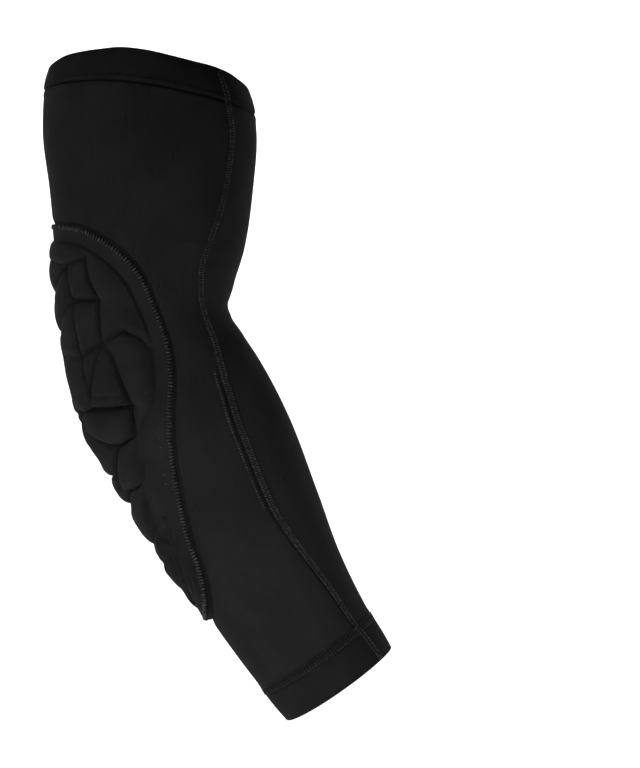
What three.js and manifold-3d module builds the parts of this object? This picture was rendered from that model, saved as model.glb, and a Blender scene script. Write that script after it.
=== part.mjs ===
// Padded elbow sleeve: a bent tube of stretch knit with a band at each end and a moulded foam pad
// set into the back of the elbow. Millimetres, +Z up the upper arm.
// The origin is where the straight axes of the upper arm and the forearm cross, inside the elbow.
// -X is the back of the elbow, +X its crook, -Y the inner side of the arm and +Y the outer side.
// A place on the sleeve is given as along, the distance down the arm's axis from the middle of the
// bend, and around, the angle from the back of the arm, positive towards the inner side.

import * as THREE from "three";
import { LoftGeometry } from "three/addons/geometries/LoftGeometry.js";
import { mergeVertices } from "three/addons/utils/BufferGeometryUtils.js";
import Module from "manifold-3d";

const { clamp, degToRad, lerp, mapLinear, radToDeg, smoothstep } = THREE.MathUtils;

// Axis of the arm: straight, an arc at the elbow, then straight again.
const BEND = degToRad(30);
const BEND_RADIUS = 110;
const HALF_ARC = (BEND_RADIUS * BEND) / 2;
const BEND_START_Z = BEND_RADIUS * Math.tan(BEND / 2);

// Knit wall, the bands at the two ends, and the gap that sewn edges keep from each other.
const KNIT_WALL = 1.4;
const BAND_WALL = 2.4;
const BAND_PROUD = 0.4;
const BAND_TAPER = 1.5;
const WRIST_BAND = 20;
const SEAM_GAP = 0.4;

// Seam and rim of the upper band, as heights up the arm, by the angle from its back.
const UPPER_BAND = [
  { around: 0, seam: 132.6, rim: 143.0 },
  { around: 25, seam: 133.3, rim: 145.8 },
  { around: 38, seam: 133.9, rim: 147.7 },
  { around: 52, seam: 134.0, rim: 148.7 },
  { around: 64, seam: 134.0, rim: 149.3 },
  { around: 77, seam: 133.3, rim: 149.8 },
  { around: 92, seam: 131.7, rim: 148.3 },
  { around: 106, seam: 129.6, rim: 145.9 },
  { around: 120, seam: 127.4, rim: 143.6 },
  { around: 134, seam: 125.2, rim: 141.8 },
  { around: 146, seam: 123.4, rim: 139.7 },
  { around: 160, seam: 122.0, rim: 136.5 },
  { around: 180, seam: 121.0, rim: 133.5 },
];

// The wrist's rim: slanted, lower at the back and a little at the sides.
const WRIST_RIM = { middle: 188.7, backLower: 2.6, sidesLower: 0.4 };

// Outside of the sleeve at stations down the arm, as distances from the axis.
const SECTIONS = [
  { along: -155, back: 50.5, front: 47.5, side: 49.0 },
  { along: -113, back: 53.0, front: 53.8, side: 51.5 },
  { along: -83, back: 49.5, front: 52.0, side: 49.5 },
  { along: -55, back: 46.7, front: 48.0, side: 45.5 },
  { along: -23, back: 42.5, front: 39.5, side: 37.5 },
  { along: 0, back: 42.5, front: 44.4, side: 36.5 },
  { along: 25, back: 43.0, front: 47.4, side: 38.0 },
  { along: 60, back: 41.5, front: 46.0, side: 38.5 },
  { along: 100, back: 40.0, front: 39.5, side: 37.0 },
  { along: 130, back: 38.3, front: 34.2, side: 34.5 },
  { along: 160, back: 35.1, front: 32.0, side: 33.0 },
  { along: 192, back: 30.2, front: 32.5, side: 31.5 },
];

// Sewn edge of the pad: how far round from the back of the arm it reaches, in degrees, on each side.
const PAD_EDGE = [
  { along: -66, reach: 6 },
  { along: -64, reach: 40 },
  { along: -60, reach: 58 },
  { along: -50, reach: 77 },
  { along: -36, reach: 91 },
  { along: -10, reach: 102 },
  { along: 15, reach: 97 },
  { along: 42, reach: 78 },
  { along: 88, reach: 51 },
  { along: 100, reach: 47 },
  { along: 113, reach: 38 },
  { along: 120, reach: 29 },
  { along: 125, reach: 17 },
  { along: 128, reach: 4 },
];
const PAD_TOP = PAD_EDGE[0].along;
const PAD_END = PAD_EDGE[PAD_EDGE.length - 1].along;

// Relief of the pad: a flat sewn border, then foam cells that rise out of narrow grooves.
// The border is wider in places on the inner side, where margin gives its width, and the cells rise
// higher on the pad's sides than down its middle.
const PAD_RADIUS = 43;
const PAD_BORDER = 8;
const EDGE_BEVEL = 2.5;
const BORDER_BEVEL = 5;
const GROOVE_BEVEL = 4.6;
const SIDE_GAIN = 0.3;
const SIDE_FROM = 10;
const SIDE_FULL = 40;
const RELIEF = [
  { along: -66, margin: 8, border: 0.4, cells: 2.2 },
  { along: -50, margin: 8, border: 0.6, cells: 3.0 },
  { along: -38, margin: 8, border: 0.6, cells: 4.2 },
  { along: -22, margin: 8, border: 0.6, cells: 4.0 },
  { along: -8, margin: 8, border: 0.6, cells: 2.9 },
  { along: 6, margin: 8, border: 0.6, cells: 4.2 },
  { along: 17, margin: 8, border: 0.6, cells: 5.4 },
  { along: 23, margin: 9, border: 0.6, cells: 5.2 },
  { along: 33, margin: 18, border: 0.6, cells: 4.8 },
  { along: 74, margin: 18, border: 0.8, cells: 4.7 },
  { along: 90, margin: 16, border: 1.1, cells: 4.0 },
  { along: 105, margin: 16, border: 1.4, cells: 3.2 },
  { along: 118, margin: 11, border: 2.4, cells: 1.6 },
  { along: 128, margin: 5, border: 3.1, cells: 1.0 },
];

// Corners of the foam cells.
const CORNERS = {
  crest_outer: { along: -54, around: -14 },
  crest_inner: { along: -48, around: 4 },
  brow_edge: { along: -47, around: -54 },
  brow_outer: { along: -44, around: -36 },
  brow_middle: { along: -41, around: -18 },
  brow_inner: { along: -45, around: 35 },
  shoulder: { along: -48, around: 52 },
  wing_edge: { along: -31, around: -76 },
  wing: { along: -33, around: -48 },
  keel: { along: -27, around: -13 },
  slot_top: { along: -33, around: 9 },
  cheek_bend: { along: -37, around: 54 },
  cheek_inner: { along: -28, around: 38 },
  cheek_rim: { along: -28, around: 60 },
  hinge_outer: { along: -16, around: -54 },
  star_outer: { along: -16, around: -23 },
  slot_middle: { along: -17, around: 9 },
  slot_low: { along: -8, around: 7 },
  notch: { along: -7, around: 38 },
  star_inner: { along: -10, around: 58 },
  arch: { along: -14, around: 75 },
  arch_low: { along: -10, around: 84 },
  arch_edge: { along: -4, around: 90 },
  arc_edge: { along: 8, around: -88 },
  arc_top: { along: 1, around: -66 },
  knee: { along: -2, around: -44 },
  tip: { along: 8, around: 39 },
  brace: { along: -5, around: 64 },
  base_outer: { along: 11, around: -53 },
  star_middle: { along: 13, around: 11 },
  base_inner: { along: 13, around: 67 },
  sill_outer: { along: 13, around: 36 },
  sill_inner: { along: 18, around: 67 },
  low_outer: { along: 29, around: -58 },
  low_middle: { along: 25, around: -29 },
  bay: { along: 21, around: 21 },
  bridge: { along: 30, around: 8 },
  joint: { along: 30, around: 43 },
  joint_rim: { along: 30, around: 60 },
  roof: { along: 36, around: -31 },
  fold: { along: 43, around: 22 },
  star_low: { along: 40, around: -3 },
  rung_inner: { along: 52, around: 25 },
  rung_rim: { along: 52, around: 42 },
  gate_edge: { along: 58, around: -64 },
  gate_outer: { along: 52, around: -45 },
  gate_middle: { along: 59, around: -12 },
  gate_inner: { along: 58, around: 10 },
  heel: { along: 74, around: 28 },
  star_end: { along: 77, around: -15 },
  fork_outer: { along: 80, around: -37 },
  fork_inner: { along: 83, around: 6 },
  ankle: { along: 90, around: 26 },
  shin: { along: 92, around: -2 },
  toe_inner: { along: 101, around: 17 },
  toe_middle: { along: 109, around: -3 },
};

// Grooves between the cells, each through its corners; depth 1 reaches down to the border.
const GROOVES = [
  { depth: 0.9, through: ["crest_outer", "brow_middle", "keel"] },
  { depth: 0.6, through: ["crest_outer", "crest_inner", "brow_inner"] },
  { depth: 0.8, through: ["brow_inner", "shoulder"] },
  { depth: 0.7, through: ["brow_edge", "brow_outer", "brow_middle"] },
  { depth: 1.0, through: ["brow_inner", "slot_top", "keel"] },
  { depth: 1.0, through: ["wing_edge", "wing", "keel", "star_outer"] },
  { depth: 0.9, through: ["shoulder", "cheek_bend", "cheek_rim", "star_inner"] },
  { depth: 0.8, through: ["brow_inner", "cheek_inner", "notch"] },
  { depth: 0.9, through: ["cheek_inner", "cheek_rim"] },
  { depth: 0.8, through: ["slot_top", "slot_middle", "slot_low", "star_middle"] },
  { depth: 0.7, through: ["star_outer", "slot_middle", "cheek_inner"] },
  { depth: 0.7, through: ["slot_low", "notch"] },
  { depth: 0.9, through: ["hinge_outer", "star_outer", "knee", "hinge_outer"] },
  { depth: 0.8, through: ["arc_edge", "arc_top", "knee", "base_outer"] },
  { depth: 0.9, through: ["star_outer", "star_middle"] },
  { depth: 0.4, through: ["base_outer", "star_middle"] },
  { depth: 0.5, through: ["tip", "sill_outer"] },
  { depth: 0.5, through: ["low_middle", "bridge"] },
  { depth: 0.7, through: ["star_low", "fold"] },
  { depth: 0.9, through: ["notch", "star_inner", "arch", "arch_low", "arch_edge"] },
  { depth: 0.8, through: ["notch", "tip", "star_inner"] },
  { depth: 0.9, through: ["star_inner", "brace", "base_inner", "sill_inner"] },
  { depth: 0.4, through: ["tip", "base_inner"] },
  { depth: 1.0, through: ["star_middle", "sill_outer", "sill_inner"] },
  { depth: 0.9, through: ["sill_inner", "joint_rim", "joint", "bay", "star_middle"] },
  { depth: 1.0, through: ["low_outer", "low_middle", "star_middle", "star_low"] },
  { depth: 0.9, through: ["joint", "fold", "rung_inner", "rung_rim", "joint_rim"] },
  { depth: 0.9, through: ["gate_outer", "roof", "star_low", "bridge"] },
  { depth: 0.9, through: ["gate_edge", "gate_outer", "gate_middle", "gate_inner", "rung_inner"] },
  { depth: 0.8, through: ["star_low", "gate_middle", "star_end"] },
  { depth: 0.8, through: ["rung_rim", "heel", "fork_inner"] },
  { depth: 0.7, through: ["gate_outer", "fork_outer", "star_end", "fork_inner"] },
  { depth: 0.7, through: ["heel", "ankle", "toe_inner", "toe_middle"] },
  { depth: 0.6, through: ["ankle", "shin", "toe_middle"] },
  { depth: 0.6, through: ["fork_inner", "shin"] },
];

// Facets.
const ROUND_STEPS = 36;
const SLEEVE_ROWS = 28;
const BAND_ROWS = 3;
const PAD_ROWS = 54;
const PAD_COLUMNS = 38;
const PAD_BACK_COLUMNS = 8;
const PAD_END_ROWS = [0.8, 2];
const CUTTER_REACH = 3;

// Value of a table's column at a place, on a smooth curve through its rows.
function tableAt(table, column, place, key = "along") {
  const last = table.length - 1;
  const x = clamp(place, table[0][key], table[last][key]);
  const i = clamp(table.findIndex((row) => row[key] >= x) - 1, 0, last - 1);
  const slope = (k) => {
    const before = table[Math.max(k - 1, 0)];
    const after = table[Math.min(k + 1, last)];
    return (after[column] - before[column]) / (after[key] - before[key]);
  };
  const [from, to] = [table[i], table[i + 1]];
  const span = to[key] - from[key];
  const t = (x - from[key]) / span;
  const ease = t * t * (3 - 2 * t);
  const swing = slope(i) * (1 - t) - slope(i + 1) * t;
  return lerp(from[column], to[column], ease) + swing * span * t * (1 - t);
}

// Point of the arm's axis and the direction from it to the front of the arm.
function axisAt(along) {
  const turn = clamp((along + HALF_ARC) / BEND_RADIUS, 0, BEND);
  const straight = along + HALF_ARC - turn * BEND_RADIUS;
  const front = new THREE.Vector3(Math.cos(turn), 0, Math.sin(turn));
  const down = new THREE.Vector3(Math.sin(turn), 0, -Math.cos(turn));
  const point = new THREE.Vector3(
    BEND_RADIUS * (1 - Math.cos(turn)),
    0,
    BEND_START_Z - BEND_RADIUS * Math.sin(turn),
  );
  return { point: point.addScaledVector(down, straight), front };
}

// Point at a place on the sleeve, lifted off its outside along the section's normal.
function surfacePoint(along, around, lift) {
  const { point, front } = axisAt(along);
  const angle = degToRad(around);
  const depth = tableAt(SECTIONS, Math.cos(angle) > 0 ? "back" : "front", along);
  const side = tableAt(SECTIONS, "side", along);
  const normal = new THREE.Vector2(Math.cos(angle) / depth, Math.sin(angle) / side).normalize();
  point.addScaledVector(front, -(depth * Math.cos(angle) + lift * normal.x));
  point.y -= side * Math.sin(angle) + lift * normal.y;
  return point;
}

// Edges of the tube's pieces, as stations that vary round the arm.
function upperEdge(edge, around) {
  const fromBack = radToDeg(Math.acos(Math.cos(degToRad(around))));
  return -tableAt(UPPER_BAND, edge, fromBack, "around");
}

function upperSeam(around) {
  return upperEdge("seam", around);
}

function upperRim(around) {
  return upperEdge("rim", around);
}

function wristRim(around) {
  const angle = degToRad(around);
  const { middle, backLower, sidesLower } = WRIST_RIM;
  return middle + backLower * Math.cos(angle) - sidesLower * Math.cos(2 * angle);
}

function wristSeam(around) {
  return wristRim(around) - WRIST_BAND;
}

// Closed solid from lofted sections, with their shared points merged.
function loft(sections, caps) {
  const geometry = new THREE.BufferGeometry();
  geometry.copy(new LoftGeometry(sections, { capStart: caps, capEnd: caps }));
  geometry.deleteAttribute("normal");
  geometry.deleteAttribute("uv");
  return mergeVertices(geometry);
}

// Wall of a tube between two edges: down its outside, and back up its inside.
function tubeWall({ top, bottom, rows, wall, outside }) {
  const ring = (share, lift) =>
    Array.from({ length: ROUND_STEPS }, (_, i) => {
      const around = (-360 * i) / ROUND_STEPS;
      return surfacePoint(lerp(top(around), bottom(around), share), around, lift);
    });
  const shares = Array.from({ length: rows + 1 }, (_, i) => i / rows);
  const outer = shares.map((share) => ring(share, outside(share)));
  const inner = shares.reverse().map((share) => ring(share, outside(share) - wall));
  return loft([...outer, ...inner, outer[0]], false);
}

// Stations of the pad's rows: even, with a few more close to its two ends.
function padStations() {
  const even = Array.from({ length: PAD_ROWS - 1 }, (_, i) => lerp(PAD_TOP, PAD_END, (i + 1) / PAD_ROWS));
  const first = PAD_END_ROWS.map((step) => PAD_TOP + step);
  const last = PAD_END_ROWS.map((step) => PAD_END - step).reverse();
  return [PAD_TOP, ...first, ...even, ...last, PAD_END];
}

// Place on the pad laid flat, in millimetres, for measuring across it.
function flat(along, around) {
  return new THREE.Vector3(along, degToRad(around) * PAD_RADIUS, 0);
}

function chain(places) {
  return places.slice(1).map((place, i) => new THREE.Line3(places[i], place));
}

const GROOVE_LINES = GROOVES.flatMap(({ depth, through }) => {
  const corners = through.map((name) => flat(CORNERS[name].along, CORNERS[name].around));
  return chain(corners).map((line) => ({ line, depth }));
});

const EDGE_LINES = [1, -1].flatMap((side) =>
  chain(padStations().map((along) => flat(along, side * tableAt(PAD_EDGE, "reach", along)))),
);

function distanceTo(line, place) {
  return line.closestPointToPoint(place, true, new THREE.Vector3()).distanceTo(place);
}

// Round shoulder that rises from 0 to 1 over a bevel's width.
function shoulder(distance, width) {
  return Math.sin((Math.PI / 2) * clamp(distance / width, 0, 1));
}

// Height of the pad's face over the sleeve: its border, then the cells between their grooves.
function padLift(along, around) {
  const place = flat(along, around);
  const fromEdge = Math.min(...EDGE_LINES.map((line) => distanceTo(line, place)));
  const heights = GROOVE_LINES.map(
    ({ line, depth }) => 1 - depth * (1 - shoulder(distanceTo(line, place), GROOVE_BEVEL)),
  );
  const cell = Math.min(...heights);
  const border = tableAt(RELIEF, "border", along) * shoulder(fromEdge, EDGE_BEVEL);
  const margin = around > 0 ? tableAt(RELIEF, "margin", along) : PAD_BORDER;
  const rise = cell * shoulder(fromEdge - margin, BORDER_BEVEL);
  const gain = 1 + SIDE_GAIN * smoothstep(Math.abs(around), SIDE_FROM, SIDE_FULL);
  return border + gain * tableAt(RELIEF, "cells", along) * rise;
}

// Patch of the arm inside the pad's edge: across its face, and back across its underside.
// Growing it moves the edge out on every side.
function padPatch({ grow, columns, backColumns, face, underside }) {
  const sections = padStations().map((station) => {
    const along = mapLinear(station, PAD_TOP, PAD_END, PAD_TOP - grow, PAD_END + grow);
    const reach = tableAt(PAD_EDGE, "reach", station) + radToDeg(grow / PAD_RADIUS);
    const across = (count) => Array.from({ length: count + 1 }, (_, i) => lerp(reach, -reach, i / count));
    const upper = across(columns).map((around) => surfacePoint(along, around, face(along, around)));
    const lower = across(backColumns).map((around) => surfacePoint(along, around, underside));
    return [...upper, ...lower.reverse()];
  });
  return loft(sections, true);
}

const wasm = await Module();
wasm.setup();

function toSolid(geometry) {
  return new wasm.Manifold(
    new wasm.Mesh({
      numProp: 3,
      vertProperties: geometry.getAttribute("position").array,
      triVerts: new Uint32Array(geometry.index.array),
    }),
  );
}

function toGeometry(solid) {
  const { vertProperties, triVerts } = solid.getMesh();
  const geometry = new THREE.BufferGeometry();
  geometry.setAttribute("position", new THREE.BufferAttribute(vertProperties, 3));
  geometry.setIndex(new THREE.BufferAttribute(triVerts, 1));
  return geometry;
}

// The bands are folded double, so they are thicker than the sleeve and stand a little proud of it.
function upperBand() {
  return tubeWall({
    top: upperRim,
    bottom: upperSeam,
    rows: BAND_ROWS,
    wall: BAND_WALL,
    outside: (share) => BAND_PROUD - BAND_TAPER * (1 - share),
  });
}

function wristBand() {
  return tubeWall({
    top: wristSeam,
    bottom: wristRim,
    rows: BAND_ROWS,
    wall: BAND_WALL,
    outside: () => BAND_PROUD,
  });
}

// The sleeve runs from band to band and has a window for the pad.
function sleeve() {
  const tube = tubeWall({
    top: (around) => upperSeam(around) + SEAM_GAP,
    bottom: (around) => wristSeam(around) - SEAM_GAP,
    rows: SLEEVE_ROWS,
    wall: KNIT_WALL,
    outside: () => 0,
  });
  const window = padPatch({
    grow: SEAM_GAP,
    columns: PAD_COLUMNS,
    backColumns: PAD_COLUMNS,
    face: () => CUTTER_REACH,
    underside: -KNIT_WALL - CUTTER_REACH,
  });
  return toGeometry(toSolid(tube).subtract(toSolid(window)));
}

function elbowPad() {
  return padPatch({
    grow: 0,
    columns: PAD_COLUMNS,
    backColumns: PAD_BACK_COLUMNS,
    face: padLift,
    underside: -KNIT_WALL,
  });
}

const knit = new THREE.MeshStandardMaterial({ color: 0x1c1c1e, roughness: 0.8, metalness: 0 });
const bandKnit = new THREE.MeshStandardMaterial({ color: 0x171718, roughness: 0.85, metalness: 0 });
const padCloth = new THREE.MeshStandardMaterial({ color: 0x1e1f20, roughness: 0.9, metalness: 0 });

const PIECES = [
  { name: "upper_band", geometry: upperBand(), material: bandKnit },
  { name: "sleeve", geometry: sleeve(), material: knit },
  { name: "elbow_pad", geometry: elbowPad(), material: padCloth },
  { name: "wrist_band", geometry: wristBand(), material: bandKnit },
];

const guard = new THREE.Group();
guard.name = "elbow_guard";
for (const { name, geometry, material } of PIECES) {
  const piece = new THREE.Mesh(geometry, material);
  piece.name = name;
  guard.add(piece);
}

export default guard;
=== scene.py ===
"""Looks of a padded elbow sleeve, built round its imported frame.

Sizes are in millimetres, as on a maker's drawing, and become metres where a mesh is made.
A place on the sleeve is (along, around): along is the distance down the arm's axis from the middle
of the bend, and around the angle in degrees from the back of the arm, positive towards the inner
side of the arm, which is -Y.
"""

import logging
import math
from dataclasses import dataclass, field
from enum import Enum
from typing import Callable, NamedTuple, Sequence

import bmesh
import bpy
import numpy as np
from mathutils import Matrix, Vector


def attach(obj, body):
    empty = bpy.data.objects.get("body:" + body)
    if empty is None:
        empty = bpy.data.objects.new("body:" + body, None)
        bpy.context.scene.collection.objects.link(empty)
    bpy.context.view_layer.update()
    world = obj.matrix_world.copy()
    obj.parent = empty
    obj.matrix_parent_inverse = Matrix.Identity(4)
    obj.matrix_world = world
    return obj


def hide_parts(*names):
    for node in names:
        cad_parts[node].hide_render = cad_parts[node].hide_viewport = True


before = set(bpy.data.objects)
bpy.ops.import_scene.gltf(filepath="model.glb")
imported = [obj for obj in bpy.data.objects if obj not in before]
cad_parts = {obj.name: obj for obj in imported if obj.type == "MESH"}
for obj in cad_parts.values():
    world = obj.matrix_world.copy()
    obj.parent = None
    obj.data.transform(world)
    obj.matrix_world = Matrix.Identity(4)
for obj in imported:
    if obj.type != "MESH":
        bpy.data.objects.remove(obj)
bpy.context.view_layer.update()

LOG = logging.getLogger("elbow_guard")
MM = 0.001
BODY = "root"
Array = np.ndarray
Colour = tuple[float, float, float]
Point = tuple[float, float, float]
Settings = dict[str, object]
Values = dict[str | int, object]


class Section(NamedTuple):
    """Outside of the sleeve at a station, as distances from the arm's axis."""

    along: float
    back: float
    front: float
    side: float


SECTIONS = (
    Section(-155, 50.5, 47.5, 49.0),
    Section(-113, 53.0, 53.8, 51.5),
    Section(-83, 49.5, 52.0, 49.5),
    Section(-55, 46.7, 48.0, 45.5),
    Section(-23, 42.5, 39.5, 37.5),
    Section(0, 42.5, 44.4, 36.5),
    Section(25, 43.0, 47.4, 38.0),
    Section(60, 41.5, 46.0, 38.5),
    Section(100, 40.0, 39.5, 37.0),
    Section(130, 38.3, 34.2, 34.5),
    Section(160, 35.1, 32.0, 33.0),
    Section(192, 30.2, 32.5, 31.5),
)


class BandEdges(NamedTuple):
    """Heights up the arm of the upper band's seam and rim, at an angle from the back of the arm."""

    around: float
    seam: float
    rim: float


UPPER_BAND = (
    BandEdges(0, 132.6, 143.0),
    BandEdges(25, 133.3, 145.8),
    BandEdges(38, 133.9, 147.7),
    BandEdges(52, 134.0, 148.7),
    BandEdges(64, 134.0, 149.3),
    BandEdges(77, 133.3, 149.8),
    BandEdges(92, 131.7, 148.3),
    BandEdges(106, 129.6, 145.9),
    BandEdges(120, 127.4, 143.6),
    BandEdges(134, 125.2, 141.8),
    BandEdges(146, 123.4, 139.7),
    BandEdges(160, 122.0, 136.5),
    BandEdges(180, 121.0, 133.5),
)


class EdgeStation(NamedTuple):
    """How far round from the back of the arm the pad's sewn edge reaches, on each side."""

    along: float
    reach: float


PAD_EDGE = (
    EdgeStation(-66, 6),
    EdgeStation(-64, 40),
    EdgeStation(-60, 58),
    EdgeStation(-50, 77),
    EdgeStation(-36, 91),
    EdgeStation(-10, 102),
    EdgeStation(15, 97),
    EdgeStation(42, 78),
    EdgeStation(88, 51),
    EdgeStation(100, 47),
    EdgeStation(113, 38),
    EdgeStation(120, 29),
    EdgeStation(125, 17),
    EdgeStation(128, 4),
)


class ReliefStation(NamedTuple):
    """The pad's flat border, its width on the inner side and its height, and the cells' height over it."""

    along: float
    margin: float
    border: float
    cells: float


RELIEF = (
    ReliefStation(-66, 8, 0.4, 2.2),
    ReliefStation(-50, 8, 0.6, 3.0),
    ReliefStation(-38, 8, 0.6, 4.2),
    ReliefStation(-22, 8, 0.6, 4.0),
    ReliefStation(-8, 8, 0.6, 2.9),
    ReliefStation(6, 8, 0.6, 4.2),
    ReliefStation(17, 8, 0.6, 5.4),
    ReliefStation(23, 9, 0.6, 5.2),
    ReliefStation(33, 18, 0.6, 4.8),
    ReliefStation(74, 18, 0.8, 4.7),
    ReliefStation(90, 16, 1.1, 4.0),
    ReliefStation(105, 16, 1.4, 3.2),
    ReliefStation(118, 11, 2.4, 1.6),
    ReliefStation(128, 5, 3.1, 1.0),
)


class Place(NamedTuple):
    """A place on the sleeve."""

    along: float
    around: float


CORNERS = {
    "crest_outer": Place(-54, -14),
    "crest_inner": Place(-48, 4),
    "brow_edge": Place(-47, -54),
    "brow_outer": Place(-44, -36),
    "brow_middle": Place(-41, -18),
    "brow_inner": Place(-45, 35),
    "shoulder": Place(-48, 52),
    "wing_edge": Place(-31, -76),
    "wing": Place(-33, -48),
    "keel": Place(-27, -13),
    "slot_top": Place(-33, 9),
    "cheek_bend": Place(-37, 54),
    "cheek_inner": Place(-28, 38),
    "cheek_rim": Place(-28, 60),
    "hinge_outer": Place(-16, -54),
    "star_outer": Place(-16, -23),
    "slot_middle": Place(-17, 9),
    "slot_low": Place(-8, 7),
    "notch": Place(-7, 38),
    "star_inner": Place(-10, 58),
    "arch": Place(-14, 75),
    "arch_low": Place(-10, 84),
    "arch_edge": Place(-4, 90),
    "arc_edge": Place(8, -88),
    "arc_top": Place(1, -66),
    "knee": Place(-2, -44),
    "tip": Place(8, 39),
    "brace": Place(-5, 64),
    "base_outer": Place(11, -53),
    "star_middle": Place(13, 11),
    "base_inner": Place(13, 67),
    "sill_outer": Place(13, 36),
    "sill_inner": Place(18, 67),
    "low_outer": Place(29, -58),
    "low_middle": Place(25, -29),
    "bay": Place(21, 21),
    "bridge": Place(30, 8),
    "joint": Place(30, 43),
    "joint_rim": Place(30, 60),
    "roof": Place(36, -31),
    "fold": Place(43, 22),
    "star_low": Place(40, -3),
    "rung_inner": Place(52, 25),
    "rung_rim": Place(52, 42),
    "gate_edge": Place(58, -64),
    "gate_outer": Place(52, -45),
    "gate_middle": Place(59, -12),
    "gate_inner": Place(58, 10),
    "heel": Place(74, 28),
    "star_end": Place(77, -15),
    "fork_outer": Place(80, -37),
    "fork_inner": Place(83, 6),
    "ankle": Place(90, 26),
    "shin": Place(92, -2),
    "toe_inner": Place(101, 17),
    "toe_middle": Place(109, -3),
}


class Groove(NamedTuple):
    """A groove between foam cells, through its corners; depth 1 reaches down to the border."""

    depth: float
    through: tuple[str, ...]


GROOVES = (
    Groove(0.9, ("crest_outer", "brow_middle", "keel")),
    Groove(0.6, ("crest_outer", "crest_inner", "brow_inner")),
    Groove(0.8, ("brow_inner", "shoulder")),
    Groove(0.7, ("brow_edge", "brow_outer", "brow_middle")),
    Groove(1.0, ("brow_inner", "slot_top", "keel")),
    Groove(1.0, ("wing_edge", "wing", "keel", "star_outer")),
    Groove(0.9, ("shoulder", "cheek_bend", "cheek_rim", "star_inner")),
    Groove(0.8, ("brow_inner", "cheek_inner", "notch")),
    Groove(0.9, ("cheek_inner", "cheek_rim")),
    Groove(0.8, ("slot_top", "slot_middle", "slot_low", "star_middle")),
    Groove(0.7, ("star_outer", "slot_middle", "cheek_inner")),
    Groove(0.7, ("slot_low", "notch")),
    Groove(0.9, ("hinge_outer", "star_outer", "knee", "hinge_outer")),
    Groove(0.8, ("arc_edge", "arc_top", "knee", "base_outer")),
    Groove(0.9, ("star_outer", "star_middle")),
    Groove(0.4, ("base_outer", "star_middle")),
    Groove(0.5, ("tip", "sill_outer")),
    Groove(0.5, ("low_middle", "bridge")),
    Groove(0.7, ("star_low", "fold")),
    Groove(0.9, ("notch", "star_inner", "arch", "arch_low", "arch_edge")),
    Groove(0.8, ("notch", "tip", "star_inner")),
    Groove(0.9, ("star_inner", "brace", "base_inner", "sill_inner")),
    Groove(0.4, ("tip", "base_inner")),
    Groove(1.0, ("star_middle", "sill_outer", "sill_inner")),
    Groove(0.9, ("sill_inner", "joint_rim", "joint", "bay", "star_middle")),
    Groove(1.0, ("low_outer", "low_middle", "star_middle", "star_low")),
    Groove(0.9, ("joint", "fold", "rung_inner", "rung_rim", "joint_rim")),
    Groove(0.9, ("gate_outer", "roof", "star_low", "bridge")),
    Groove(0.9, ("gate_edge", "gate_outer", "gate_middle", "gate_inner", "rung_inner")),
    Groove(0.8, ("star_low", "gate_middle", "star_end")),
    Groove(0.8, ("rung_rim", "heel", "fork_inner")),
    Groove(0.7, ("gate_outer", "fork_outer", "star_end", "fork_inner")),
    Groove(0.7, ("heel", "ankle", "toe_inner", "toe_middle")),
    Groove(0.6, ("ankle", "shin", "toe_middle")),
    Groove(0.6, ("fork_inner", "shin")),
)

# The closing seam of the sleeve, down the inner side of the arm from rim to rim.
ARM_SEAM = (
    Place(-142, 136),
    Place(-115, 141),
    Place(-99, 141),
    Place(-80, 138.5),
    Place(-62, 133),
    Place(-50, 129),
    Place(-41, 128.5),
    Place(-32, 131),
    Place(-21, 135),
    Place(-8, 134.5),
    Place(10, 131.5),
    Place(33, 125),
    Place(48, 120.5),
    Place(64, 118),
    Place(80, 116),
    Place(96, 115.5),
    Place(112, 119),
    Place(128, 125),
    Place(144, 131),
    Place(160, 134.5),
    Place(188, 142),
)


class Fold(NamedTuple):
    """A soft fold of cloth: where it is, its half length and half width, how it slants, and its height."""

    along: float
    around: float
    length: float
    width: float
    slant: float
    height: float


FOLDS = (
    Fold(-62, 112, 30, 2.6, 0.05, -0.5),
    Fold(-55, 116, 26, 2.4, 0.02, 0.5),
    Fold(-46, 120, 30, 2.2, -0.05, -0.55),
    Fold(-34, 165, 34, 3.4, 0.0, 0.2),
    Fold(-26, 180, 44, 2.8, 0.0, -0.3),
    Fold(-17, 172, 34, 3.4, 0.0, 0.2),
    Fold(-34, -165, 34, 3.4, 0.0, 0.2),
    Fold(-17, -172, 34, 3.4, 0.0, 0.2),
    Fold(-52, -118, 26, 2.4, 0.03, -0.5),
)

# Small tucks in the pad's flat border, where its lower cells pull at the seam.
TUCKS = (
    Fold(36, 67, 5, 1.3, 0.4, -0.35),
    Fold(45, 60, 5, 1.3, 0.3, -0.5),
    Fold(57, 52, 5, 1.2, -0.5, -0.45),
    Fold(46, 48, 5, 2.4, -0.85, -1.1),
    Fold(65, 31.5, 6, 2.4, -1.15, -1.3),
    Fold(66, 46, 4, 1.2, 0.5, 0.4),
    Fold(72, 41, 4, 1.4, 0.6, -0.9),
    Fold(79, 38, 3, 2.0, -1.6, -0.8),
    Fold(82, 28, 5, 1.4, 0.5, -0.9),
    Fold(86, 30, 5, 1.3, 0.5, 0.5),
    Fold(95, 10, 5, 2.2, -1.0, -1.2),
    Fold(95, 26, 6, 1.8, -0.6, -0.7),
    Fold(101, 40, 5, 2.0, -1.0, -0.6),
    Fold(109, 24, 6, 2.0, -0.8, -0.6),
    Fold(112, 9, 4, 2.0, -0.8, -1.0),
)


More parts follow.
